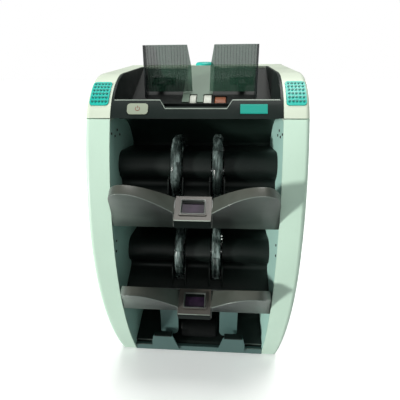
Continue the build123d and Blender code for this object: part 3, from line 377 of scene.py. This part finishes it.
def build_materials():
    return {
        "panel": moulded("panel_white", (0.60, 0.79, 0.67), 0.42, 0.22),
        "cover": moulded("cover_cream", (0.67, 0.74, 0.62), 0.40, 0.22),
        "wall": moulded("wall_grey_teal", (0.37, 0.60, 0.54), 0.48, 0.2),
        "charcoal": moulded("charcoal", (0.008, 0.014, 0.0125), 0.38, 0.2, 1300.0, specular=0.26),
        "black": gloss("gloss_black", (0.004, 0.0075, 0.0065), 0.38, 0.12, specular=0.42),
        "well_black": gloss("well_black", (0.0025, 0.0045, 0.004), 0.42, 0.12, specular=0.26),
        "deep_black": gloss("deep_black", (0.0012, 0.002, 0.002), 0.5, 0.1, specular=0.12),
        "tray": smoke("smoke_tray", (0.082, 0.104, 0.092), (0.036, 0.050, 0.044), 0.32, (0.042, 0.076)),
        # Light strip material for bright edges: a painted highlight.
        "trim": gloss("highlight_strip", (0.30, 0.35, 0.31), 0.25, 0.1),
        "display_body": display_body("display_body"),
        "wheel": vane_plastic("smoke_wheel"),
        "clear": smoked_clear("smoked_clear", (0.032, 0.100, 0.064), (0.052, 0.140, 0.092), 0.60),
        "clear_rib": smoked_clear("smoked_clear_rib", (0.028, 0.040, 0.035), (0.04, 0.055, 0.048), 0.22),
        "clear_dark": smoked_clear("smoked_clear_edge", (0.012, 0.016, 0.018), (0.022, 0.028, 0.03), 0.8),
        "teal": moulded("teal_plastic", (0.010, 0.50, 0.42), 0.36, 0.2),
        "teal_label": moulded("label_teal", (0.006, 0.31, 0.25), 0.36, 0.2),
        # Steel painted dark: painted shade for the rail inside the hopper well.
        "steel_painted_dark": steel("steel_painted_dark", (0.10, 0.105, 0.11), 0.35),
        "wall_black": gloss("wall_black", (0.008, 0.017, 0.0135), 0.42, 0.12, specular=0.45),
        "teal_dark": moulded("teal_shade", (0.004, 0.17, 0.15), 0.45, 0.2),
        "button": moulded("button_white", (0.32, 0.36, 0.28), 0.33, 0.15),
        "mark": moulded("button_print", (0.22, 0.04, 0.035), 0.5, 0.1),
        "grey": moulded("light_grey", (0.065, 0.125, 0.120), 0.5, 0.2),
        "back_plate": moulded("pale_grey_plate", (0.145, 0.205, 0.158), 0.45, 0.2),
        # Light bead material: a painted highlight along the edges of the trays, the sill and the reject
        # floor.
        "edge": gloss("bead_highlight", (0.13, 0.155, 0.14), 0.2, 0.1),
        "display_rim": gloss("display_rim", (0.050, 0.058, 0.052), 0.24, 0.1),
        "screw": steel("screw_steel", (0.42, 0.44, 0.43), 0.3),
        "plate_metal": steel("rating_plate", (0.38, 0.39, 0.39), 0.4),
        "roller_white": rubber("roller_white", (0.72, 0.74, 0.66), 0.5),
        "roller_orange": rubber("roller_orange", (0.30, 0.085, 0.03), 0.5),
        "window": glass_window("display_glass"),
        "steel": steel("bright_steel"),
        "rubber": rubber("dark_rubber", (0.028, 0.028, 0.028)),
        "drum": moulded("roller_grey", (0.09, 0.10, 0.105), 0.4, 0.2),
        "motor": moulded("motor_black", (0.02, 0.02, 0.022), 0.4, 0.2),
        "board": board("board_green"),
        "part_black": moulded("part_black", (0.014, 0.014, 0.015), 0.45, 0.3, 1200.0),
    }


SLOT_MATERIALS = {
    "panel_white": "panel", "cover_cream": "cover", "wall_grey_teal": "wall", "charcoal": "charcoal",
    "gloss_black": "black", "smoke_tray": "tray", "smoke_wheel": "wheel", "smoke_clear": "clear",
    "teal": "teal", "button_white": "button", "light_grey": "grey", "roller_white": "roller_white",
    "roller_orange": "roller_orange", "display_glass": "window", "steel": "steel",
    "dark_rubber": "rubber", "roller_grey": "drum", "motor_black": "motor", "board_green": "board",
    "part_black": "part_black",
}


NODE_LOOKS = {
    "hopper_back_plate": "back_plate", "reject_centre_cover": "deep_black", "label_plate": "teal_label",
    # The guide rail's steel is painted dark so it reads as shaded inside the well: painted shade.
    "guide_rail": "steel_painted_dark", "pocket_back_walls": "wall_black", "display_bezels": "display_body",
    "hopper_well": "well_black",
}


def paint_cad(materials):
    """Every carried-over CAD node takes the material of its slot."""
    for part in frame["record"]["subparts"]:
        node = NODES[part["node"]]
        look = NODE_LOOKS.get(part["node"], SLOT_MATERIALS[part["material_slot"]])
        node.data.materials.clear()
        node.data.materials.append(materials[look])


# --- mesh helpers -----------------------------------------------------------------------------
def shade(mesh, angle=32.0):
    """Smooth shading with hard edges where the faces turn by more than the angle."""
    work = bmesh.new()
    work.from_mesh(mesh)
    bmesh.ops.recalc_face_normals(work, faces=work.faces)
    limit = math.radians(angle)
    for face in work.faces:
        face.smooth = True
    for edge in work.edges:
        edge.smooth = len(edge.link_faces) == 2 and edge.calc_face_angle(0.0) < limit
    work.to_mesh(mesh)
    work.free()


def place(name, mesh, body, slot, material, angle=32.0):
    """Put a new piece in the scene, riding on a body and finished in a material."""
    shade(mesh, angle)
    obj = bpy.data.objects.new(name, mesh)
    bpy.context.scene.collection.objects.link(obj)
    mesh.materials.append(MATERIALS[material])
    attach(obj, body)
    return obj


def piece(name, verts, faces, body, slot, material, angle=32.0):
    mesh = bpy.data.meshes.new(name)
    mesh.from_pydata(verts, [], faces)
    return place(name, mesh, body, slot, material, angle)


def loft(rings):
    """Close a row of equal rings into one shell with flat ends."""
    count = len(rings[0])
    verts = [point for ring in rings for point in ring]
    faces = []
    for row in range(len(rings) - 1):
        for i in range(count):
            j = (i + 1) % count
            a, b = row * count, (row + 1) * count
            faces.append((a + i, a + j, b + j, b + i))
    faces.append(tuple(range(count - 1, -1, -1)))
    last = (len(rings) - 1) * count
    faces.append(tuple(range(last, last + count)))
    return verts, faces


def rounded(corners, radii, steps=5):
    """Round the corners of a closed outline with arcs, each of the same number of points."""
    points = []
    for k, (corner, radius) in enumerate(zip(corners, radii)):
        here = Vector(corner)
        to_a = Vector(corners[k - 1]) - here
        to_b = Vector(corners[(k + 1) % len(corners)]) - here
        reach_limit = 0.45 * min(to_a.length, to_b.length)
        to_a.normalize()
        to_b.normalize()
        half = to_a.angle(to_b) / 2
        reach = min(radius / math.tan(half), reach_limit) if half > 0.01 else reach_limit
        radius_here = reach * math.tan(half)
        centre = here + (to_a + to_b).normalized() * (radius_here / math.sin(half))
        start, end = here + to_a * reach - centre, here + to_b * reach - centre
        for step in range(steps + 1):
            way = start.slerp(end, step / steps) if start.angle(end) > 1e-4 else start.copy()
            points.append(tuple(centre + way))
    return points


# --- stacker trays ----------------------------------------------------------------------------
# The machine's front-to-rear places are measured from the front edge of the side panels at the
# split line, which lies SHIFT_Y in front of the middle of the frame.
SHIFT_Y = -78.5
LIP_FLAT_X, LIP_CREST_X, LIP_END_X = 22.0, 78.0, 103.7
LIP_CENTRE, LIP_CREST = (-66.0, 283.0), (-80.0, 312.0)
LIP_SWEEP, LIP_FALL = 38.0, 33.0
TRAY_FOOT, TRAY_FLOOR = (-45.0, 252.0), (-22.5, 267.5)
TRAY_SHIFTS = ((0.0, 0.0, 0.0), (-8.0, -131.5, 5.0))


def metres(x, y, z):
    return (x * MM, (y + SHIFT_Y) * MM, z * MM)


def lip(x):
    """Front and rear edges of a tray's ribbon: it climbs to a crest, then rolls down at the end."""
    rise = math.sin(math.pi / 2 * min(max((abs(x) - LIP_FLAT_X) / (LIP_CREST_X - LIP_FLAT_X), 0.0), 1.0))
    y = LIP_CENTRE[0] + (LIP_CREST[0] - LIP_CENTRE[0]) * rise
    z = LIP_CENTRE[1] + (LIP_CREST[1] - LIP_CENTRE[1]) * rise
    past = min(max((abs(x) - LIP_CREST_X) / (LIP_END_X - LIP_CREST_X), 0.0), 0.995)
    fall = 1 - math.sqrt(1 - past ** 2)
    y += LIP_SWEEP * fall
    z -= LIP_FALL * fall
    back = 28 - 18 * rise + 9 * fall
    return (y, z), (y + back, z + 7 + rise - 3 * fall), fall


def tray_ring(x, dy, dz, drop):
    front, rear, fall = lip(x)
    front, rear = (front[0], front[1] - drop), (rear[0], rear[1] - drop)
    thick = 2.8
    run = Vector((TRAY_FLOOR[0] - rear[0], TRAY_FLOOR[1] - rear[1])).normalized()
    normal = Vector((run[1], -run[0])) * thick
    under_rear = (rear[0] - 1.0 + normal[0], rear[1] + normal[1] - 0.6)
    under_floor = (TRAY_FLOOR[0] + normal[0], TRAY_FLOOR[1] + normal[1])
    inside_top = (front[0] + thick + 1.2, front[1] - thick)
    foot_in = (TRAY_FOOT[0] + thick, TRAY_FOOT[1] + 0.6)
    corners = (front, rear, TRAY_FLOOR, under_floor, under_rear, inside_top, foot_in, TRAY_FOOT)
    radii = (1.6 + 5 * fall, 1.4 + 3 * fall, 0.5, 0.5, 1.0, 1.0, 0.4, 0.8)
    return [metres(x, y + dy, z + dz) for y, z in rounded(corners, radii)]


def tray_wings(number):
    """The two gull wings, lofted finely from the same section that the frame uses."""
    dy, dz, drop = TRAY_SHIFTS[number - 1]
    places = [LIP_FLAT_X - 0.4 + (LIP_CREST_X - LIP_FLAT_X) * step / 40 for step in range(41)]
    places += [LIP_CREST_X + (LIP_END_X - LIP_CREST_X) * math.sin(math.pi / 2 * step / 30)
               for step in range(1, 31)]
    for side, word in ((-1, "left"), (1, "right")):
        rings = [tray_ring(side * x, dy, dz, drop) for x in places]
        wing = piece(f"tray_{number}_{word}_wing", *loft(rings), "root", "smoke_tray", "tray", 40)
        if side < 0:
            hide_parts(f"tray_{number}")


def bead(points, radius, sides=8):
    """A thin round bead along a row of points, in metres."""
    rings = []
    for k, point in enumerate(points):
        here = Vector(point)
        ahead = Vector(points[min(k + 1, len(points) - 1)]) - Vector(points[max(k - 1, 0)])
        side = ahead.cross(Vector((0, 0, 1))).normalized()
        up = side.cross(ahead).normalized()
        rings.append([tuple(here + (side * math.cos(a) + up * math.sin(a)) * radius * MM)
                      for a in (2 * math.pi * i / sides for i in range(sides))])
    return loft(rings)


def tray_edge(number):
    """The raised edge where a tray's ribbon meets its face, one light bead for each wing whose colour is a
    painted highlight of that edge.
    """
    dy, dz, drop = TRAY_SHIFTS[number - 1]
    for side, word in ((-1, "left"), (1, "right")):
        path = []
        for step in range(46):
            x = LIP_FLAT_X + 1.2 + (LIP_CREST_X + 12 - LIP_FLAT_X) * step / 45
            y, z = lip(x)[0]
            path.append(metres(side * x, y + 0.72 + dy, z - 0.05 + dz - drop))
        piece(f"tray_{number}_{word}_edge", *bead(path, 0.62), "root", "smoke_tray", "edge", 50)


def tray_middle(number):
    """The part of a tray that passes under the display's wedge and up behind it."""
    dy, dz, drop = TRAY_SHIFTS[number - 1]
    foot, floor = TRAY_FOOT, TRAY_FLOOR
    ring = [(-57.6, 270.6 - drop), (-38.0, 281.0 - drop), (-38.0, 290.0 - drop), floor,
            (floor[0] - 2.3, floor[1] - 1.6), (-39.5, 277 - drop), (foot[0] + 2.8, foot[1] + 0.6), foot]
    radii = (0.5, 0.5, 1.2, 0.5, 0.5, 1.0, 0.4, 0.8)
    points = rounded(ring, radii)
    rings = [[metres(x, y + dy, z + dz) for y, z in points] for x in (-21.7, -7.0, 7.0, 21.7)]
    piece(f"tray_{number}_middle", *loft(rings), "root", "smoke_tray", "tray", 40)


# --- note guides ------------------------------------------------------------------------------
def joined(name, parts, bevel, segments=2):
    """One mesh of several closed forms, with every sharp edge bevelled."""
    work = bmesh.new()
    for verts, faces in parts:
        made = [work.verts.new(v) for v in verts]
        for face in faces:
            work.faces.new([made[i] for i in face])
    bmesh.ops.recalc_face_normals(work, faces=work.faces)
    if bevel:
        sharp = [e for e in work.edges if len(e.link_faces) == 2 and e.calc_face_angle(0) > 0.5]
        bmesh.ops.bevel(work, geom=sharp, offset=bevel, segments=segments, profile=0.6,
                        affect="EDGES", clamp_overlap=True)
    mesh = bpy.data.meshes.new(name)
    work.to_mesh(mesh)
    work.free()
    return mesh


def prism_y(points, y0, y1):
    """A closed form from an outline in (x, z), in millimetres of the machine."""
    return loft([[metres(x, y, z) for x, z in points] for y in (y0, y1)])


def prism_x(points, x0, x1):
    """A closed form from an outline in (y, z), in millimetres of the machine."""
    return loft([[metres(x, y, z) for y, z in points] for x in (x0, x1)])


def mm_box(x0, x1, y0, y1, z0, z1):
    return prism_x([(y0, z0), (y1, z0), (y1, z1), (y0, z1)], x0, x1)


GUIDE_Y, GUIDE_LOW, GUIDE_FLANGE_LOW, GUIDE_TOP = 110.0, 392.0, 389.5, 453.0
GUIDE_RIBS, GUIDE_RIB_PITCH, GUIDE_RIB_X = 14, 4.15, 74.3
GUIDE_ARM_X = (55.0, 65.0)
RAIL_Y, RAIL_Z, SHOE_R = 165.0, 393.0, 5.9


def note_guide(side, word):
    """A clear sheet with ribs, a dark flange at its side, and the arm that slides on the rail."""
    body, node = f"{word}_guide", f"{word}_guide_plate"
    y, low, top = GUIDE_Y, GUIDE_LOW, GUIDE_TOP
    sheet = prism_y([(side * x, z) for x, z in ((77, low), (77, top - 0.6), (76.4, top), (18.8, top),
                                                (13.5, 425), (12.5, low))], y - 0.3, y + 1.1)
    plate = place(f"{word}_guide_sheet", joined(f"{word}_guide_sheet", [sheet], 0.3 * MM), body,
                  "smoke_clear", "clear")
    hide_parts(node)
    ribs = []
    for rib in range(GUIDE_RIBS):
        x = side * (GUIDE_RIB_X - GUIDE_RIB_PITCH * rib)
        ribs.append(mm_box(x - 0.5, x + 0.5, y - 2.1, y - 0.3, low, top - 0.3))
    place(f"{word}_guide_ribs", joined(f"{word}_guide_ribs", ribs, 0.25 * MM), body, "smoke_clear",
          "clear_rib")
    edge = [(y - 20, GUIDE_FLANGE_LOW - 3), (y - 16, GUIDE_FLANGE_LOW - 4.5), (y + 1.1, GUIDE_FLANGE_LOW),
            (y + 1.1, top), (y - 9, top)]
    flange = prism_x(edge, side * 77.05, side * 79.2)
    inner, outer = (side * x for x in GUIDE_ARM_X)
    arm = mm_box(inner, outer, y + 1.15, RAIL_Y + 3, 399, 403)
    hook = [(RAIL_Y + SHOE_R * math.cos(a), RAIL_Z + SHOE_R * math.sin(a))
            for a in (math.radians(20 * k) for k in range(18))]
    shoe = prism_x(hook, inner, outer)
    place(f"{word}_guide_flange", joined(f"{word}_guide_flange", [flange], 0.5 * MM), body,
          "smoke_clear", "clear_dark")
    place(f"{word}_guide_arm", joined(f"{word}_guide_arm", [arm, shoe], 0.5 * MM), body,
          "smoke_clear", "part_black")


# --- displays ---------------------------------------------------------------------------------
DISPLAY_MIDDLE = (-56.5, 284.6)         # middle of the wedge's sloping top, in (y, z)
DISPLAY_SLOPE = (33, 16)                # run and rise of that top
DISPLAY_RUN = math.hypot(*DISPLAY_SLOPE)


def on_display(number, x, along, height):
    """A point on a display's sloping top: along runs up the slope, height stands off it."""
    dy, dz, drop = TRAY_SHIFTS[number - 1]
    up = (DISPLAY_SLOPE[0] / DISPLAY_RUN, DISPLAY_SLOPE[1] / DISPLAY_RUN)
    out = (-up[1], up[0])
    y = DISPLAY_MIDDLE[0] + dy + up[0] * (along + 2) + out[0] * height
    z = DISPLAY_MIDDLE[1] + dz - drop + up[1] * (along + 2) + out[1] * height
    return metres(x, y, z)


def rounded_rectangle(half_x, half_y, radius):
    corners = [(-half_x, -half_y), (half_x, -half_y), (half_x, half_y), (-half_x, half_y)]
    return rounded(corners, [radius] * 4, 4)


def display_frame(number):
    """The ring round the window, the dark strip under the glass, the bright lip, a painted highlight, and two
    cheeks.
    """
    steps = ((16.4, 12.4, 2.4, 1.25), (15.5, 11.5, 2.0, 2.0), (14.6, 10.6, 1.6, 2.0), (13.2, 9.2, 1.3, 0.3))
    loops = [[on_display(number, x, v, height) for x, v in rounded_rectangle(a, b, r)]
             for a, b, r, height in steps]
    loops.append([on_display(number, x, v, -0.4) for x, v in rounded_rectangle(13.2, 9.2, 1.3)])
    loops.append([on_display(number, x, v, -0.4) for x, v in rounded_rectangle(16.4, 12.4, 2.4)])
    count = len(loops[0])
    faces = []
    for row in range(len(loops)):
        after = (row + 1) % len(loops)
        for i in range(count):
            j = (i + 1) % count
            faces.append((row * count + i, row * count + j, after * count + j, after * count + i))
    piece(f"display_{number}_frame", [p for loop in loops for p in loop], faces, "root", "smoke_tray",
          "display_rim", 25)
    strip = loft([[on_display(number, x, v, h) for v, h in ((5.2, -0.7), (8.9, -0.7), (8.9, 0.0), (5.2, 0.0))]
                  for x in (-12.6, 12.6)])
    place(f"display_{number}_strip", joined(f"display_{number}_strip", [strip], 0.2 * MM), "root",
          "gloss_black", "deep_black")
    # The light bead along the lip is a painted highlight of its edge.
    lip_line = [on_display(number, x, -19.3, 0.12) for x in (-21.0, -10.5, 0.0, 10.5, 21.0)]
    piece(f"display_{number}_nose", *bead(lip_line, 0.55), "root", "smoke_tray", "trim", 50)
    dy, dz, drop = TRAY_SHIFTS[number - 1]
    cheek = rounded([(-65.5, 282.6), (-43.0, 292.2), (-38.6, 283.2), (-60.4, 268.0), (-67.6, 264.6)],
                    [2.0, 2.0, 1.0, 1.0, 1.2], 4)
    for side, word in ((-1, "left"), (1, "right")):
        solid = prism_x([(y + dy, z + dz - drop) for y, z in cheek], side * 21.62, side * 23.0)
        place(f"display_{number}_{word}_cheek", joined(f"display_{number}_{word}_cheek", [solid], 0.4 * MM),
              "root", "smoke_tray", "display_rim")


# --- small parts ------------------------------------------------------------------------------
SHOULDER_R, SHOULDER_Y, SHOULDER_Z = 90.0, 77.942, 330.0
PAD_X, PAD_Z = 119.0, 402.3
PAD_DOTS, PAD_DOT_PITCH, PAD_DOT_R = (5, 6), (4.2, 5.7), 1.38
BUTTON_X, BUTTON_Z = -70.5, 385.8
TRIM_TOP_Z, TRIM_NOTCH_Z = 394.9, 386.4
SHELF_X = (59.9, 100.6)                 # each shelf, from the notch's ledge to the cheek
SHELF_Y = (9.9, 22.9)
SHELF_Z = (383.9, 386.2)
BUTTON_ROOM = (-83.8, 16.2)             # behind the button the left shelf starts further back
REAR_SCREW_Y = 244.1
COVER_SCREW_X, COVER_SCREW_Z = (-95, 95), (18, 108, 364)
FAN_X, FAN_Z, FAN_SCREW = 58, 62, 25
WALL_SCREW_X = 103.9
PLATE_X, PLATE_Z, PLATE_Y = 29.6, (84.4, 105.6), (244.35, 244.8)


def on_shoulder(x, angle, height):
    """A point on the cover's round shoulder; the angle is measured from straight up."""
    radius = SHOULDER_R + height
    return metres(x, SHOULDER_Y - radius * math.sin(angle), SHOULDER_Z + radius * math.cos(angle))


def shoulder_patch(points, angle, low, high):
    """A closed form standing on the shoulder from an outline in (across, along), in millimetres."""
    rings = [[on_shoulder(x, angle - v / SHOULDER_R, height) for x, v in points] for height in (low, high)]
    return loft(rings)


def circle(x, v, radius, count=14):
    return [(x + radius * math.cos(2 * math.pi * k / count), v + radius * math.sin(2 * math.pi * k / count))
            for k in range(count)]


def pad_dots(word, middle):
    """The darker caps of a latch pad's raised dots: painted shade for the dots' shadows."""
    angle = math.acos((PAD_Z - SHOULDER_Z) / SHOULDER_R)
    across, along = PAD_DOT_PITCH
    columns, rows = PAD_DOTS
    dots = []
    for column in range(columns):
        for row in range(rows):
            outline = circle(middle + (column - (columns - 1) / 2) * across, (row - (rows - 1) / 2) * along,
                             PAD_DOT_R)
            dots.append(shoulder_patch(outline, angle, 0.9, 1.85))
    place(f"{word}_pad_dots", joined(f"{word}_pad_dots", dots, 0.3 * MM), f"{word}_latch", "teal",
          "teal_dark")


def power_mark():
    """A generic power symbol on the button: a broken ring with an upright bar."""
    angle, x = math.acos((BUTTON_Z - SHOULDER_Z) / SHOULDER_R), BUTTON_X
    arc = [math.radians(125 + 290 * k / 20) for k in range(21)]
    ring = [(x + 2.9 * math.cos(a), 2.9 * math.sin(a)) for a in arc]
    ring += [(x + 2.25 * math.cos(a), 2.25 * math.sin(a)) for a in reversed(arc)]
    low, high = 0.72, 0.95
    inner = [on_shoulder(u, angle - v / SHOULDER_R, low) for u, v in ring]
    outer = [on_shoulder(u, angle - v / SHOULDER_R, high) for u, v in ring]
    total, half = len(ring), len(ring) // 2
    faces = [(k, (k + 1) % total, total + (k + 1) % total, total + k) for k in range(total)]
    for k in range(half - 1):
        strip = (k, k + 1, total - 2 - k, total - 1 - k)
        faces.append(strip[::-1])
        faces.append(tuple(total + i for i in strip))
    upright = [(x - 0.33, 0.6), (x + 0.33, 0.6), (x + 0.33, 3.9), (x - 0.33, 3.9)]
    bar = shoulder_patch(upright, angle, low, high)
    place("power_mark", joined("power_mark", [(inner + outer, faces), bar], 0), "power_key",
          "button_white", "mark")


def bezel_highlight():
    """The bright moulded edge that runs along the hopper's notch and the band's top, as a light strip: a
    painted highlight.
    """
    path = [(-100.0, TRIM_TOP_Z), (-43.9, TRIM_TOP_Z), (-37.1, TRIM_NOTCH_Z),
            (37.1, TRIM_NOTCH_Z), (43.9, TRIM_TOP_Z), (100.0, TRIM_TOP_Z)]
    rings = []
    for x, z in path:
        lean = math.acos((z - SHOULDER_Z) / SHOULDER_R)
        rings.append([on_shoulder(x, lean - v / SHOULDER_R, h)
                      for v, h in ((-0.9, -0.8), (0.4, -0.8), (0.4, 0.25), (-0.9, 0.25))])
    piece("hopper_notch_highlight", *loft(rings), "top_module", "charcoal", "trim", 25)


def bezel_shelves():
    """Shelves closing the gap from the band to the well on both sides of the notch's own ledge."""
    near, far = SHELF_X
    front, rear = SHELF_Y
    room_x, room_y = BUTTON_ROOM
    left = [(-far, front), (room_x, front), (room_x, room_y), (-near, room_y), (-near, rear), (-far, rear)]
    right = [(near, front), (far, front), (far, rear), (near, rear)]
    forms = [loft([[metres(x, y, z) for x, y in outline] for z in SHELF_Z]) for outline in (left, right)]
    place("bezel_shelves", joined("bezel_shelves", forms, 0.3 * MM), "top_module", "charcoal", "charcoal")


def screw(where, out, body_parts, radius=2.6):
    """A pan-head screw with a cross recess, added to a list of closed forms; the recess is a black cross of
    painted shade.
    """
    out = Vector(out).normalized()
    side = Vector((0, 0, 1)) if abs(out.z) < 0.9 else Vector((1, 0, 0))
    side = (side - out * side.dot(out)).normalized()
    other = out.cross(side)
    here = Vector(where)

    def at(a, b, h):
        return tuple((here + (side * a + other * b + out * h) * MM))

    rings = []
    for r, h in ((radius, -0.3), (radius, 0.35), (radius * 0.82, 0.75)):
        rings.append([at(r * math.cos(math.pi * k / 9), r * math.sin(math.pi * k / 9), h) for k in range(18)])
    body_parts["head"].append(loft(rings))
    # The cross recess is drawn as a deep-black cross: painted shade in the recess.
    for wide, tall in ((0.28, 0.55 * radius), (0.55 * radius, 0.28)):
        corners = ((-wide, -tall), (wide, -tall), (wide, tall), (-wide, tall))
        body_parts["cross"].append(loft([[at(a, b, h) for a, b in corners] for h in (0.5, 0.8)]))


def screws(name, places, body, radius=2.6, look="screw"):
    """A set of screws riding on one body; each is (x, y, z) in the machine and the way it faces."""
    parts = {"head": [], "cross": []}
    for where, out in places:
        screw(metres(*where), out, parts, radius)
    place(f"{name}_screws", joined(f"{name}_screws", parts["head"], 0), body, "steel", look)
    place(f"{name}_screw_recess_shade", joined(f"{name}_screw_recess_shade", parts["cross"], 0), body, "steel",
          "deep_black")


def stop_caps():
    """Dark grips on the top of the two note stops."""
    caps = []
    for side in (-1, 1):
        outline = rounded([(-27.1, 37.4), (-27.1, 38.0), (-18.1, 38.0), (-18.1, 37.4)], [0.2] * 4, 2)
        caps.append(prism_x(outline, side * 42.4, side * 70.6))
    place("reject_stop_grips", joined("reject_stop_grips", caps, 0), "root", "charcoal", "charcoal")


def sill_edges():
    """Bright edges along the sill and along the front of the reject pocket's floor, as light beads: painted
    highlights.
    """
    for name, y, z in (("sill_edge", -23.5, 13.1), ("reject_floor_edge", -17.6, 17.4)):
        parts = [bead([metres(side * x, y, z) for x in (76.0, 90.0, 102.5)], 0.55) for side in (-1, 1)]
        place(name, joined(name, parts, 0), "root", "light_grey", "edge", 50)


def rear_details():
    """Screws on the machine's rear and pocket walls, and a blank rating plate."""
    back = (0, 1, 0)
    cover = [((x, REAR_SCREW_Y, z), back) for x in COVER_SCREW_X for z in COVER_SCREW_Z]
    screws("rear_cover", cover, "root")
    reach = (-FAN_SCREW, FAN_SCREW)
    fan = [((FAN_X + a, REAR_SCREW_Y, FAN_Z + b), back) for a in reach for b in reach]
    screws("fan", fan, "root")
    spots = ((-2, 358), (10, 352), (22, 357), (30, 349), (-40, 226), (-46, 214))
    for side, word in ((-1, "left"), (1, "right")):
        wall = [((side * WALL_SCREW_X, y, z), (-side, 0, 0)) for y, z in spots]
        screws(f"{word}_wall", wall, "root", 1.7, "rubber")
    low, high = PLATE_Z
    outline = rounded([(-PLATE_X, low), (PLATE_X, low), (PLATE_X, high), (-PLATE_X, high)], [1.5] * 4, 4)
    plate = prism_y(outline, *PLATE_Y)
    place("rating_plate", joined("rating_plate", [plate], 0), "root", "steel", "plate_metal")


camera()
studio()
floor()
MATERIALS = build_materials()
paint_cad(MATERIALS)
for tray_number in (1, 2):
    tray_wings(tray_number)
    tray_middle(tray_number)
    tray_edge(tray_number)
    display_frame(tray_number)
for guide_side, guide_word in ((-1, "left"), (1, "right")):
    note_guide(guide_side, guide_word)
    pad_dots(guide_word, guide_side * PAD_X)
power_mark()
bezel_highlight()
bezel_shelves()
stop_caps()
sill_edges()
rear_details()
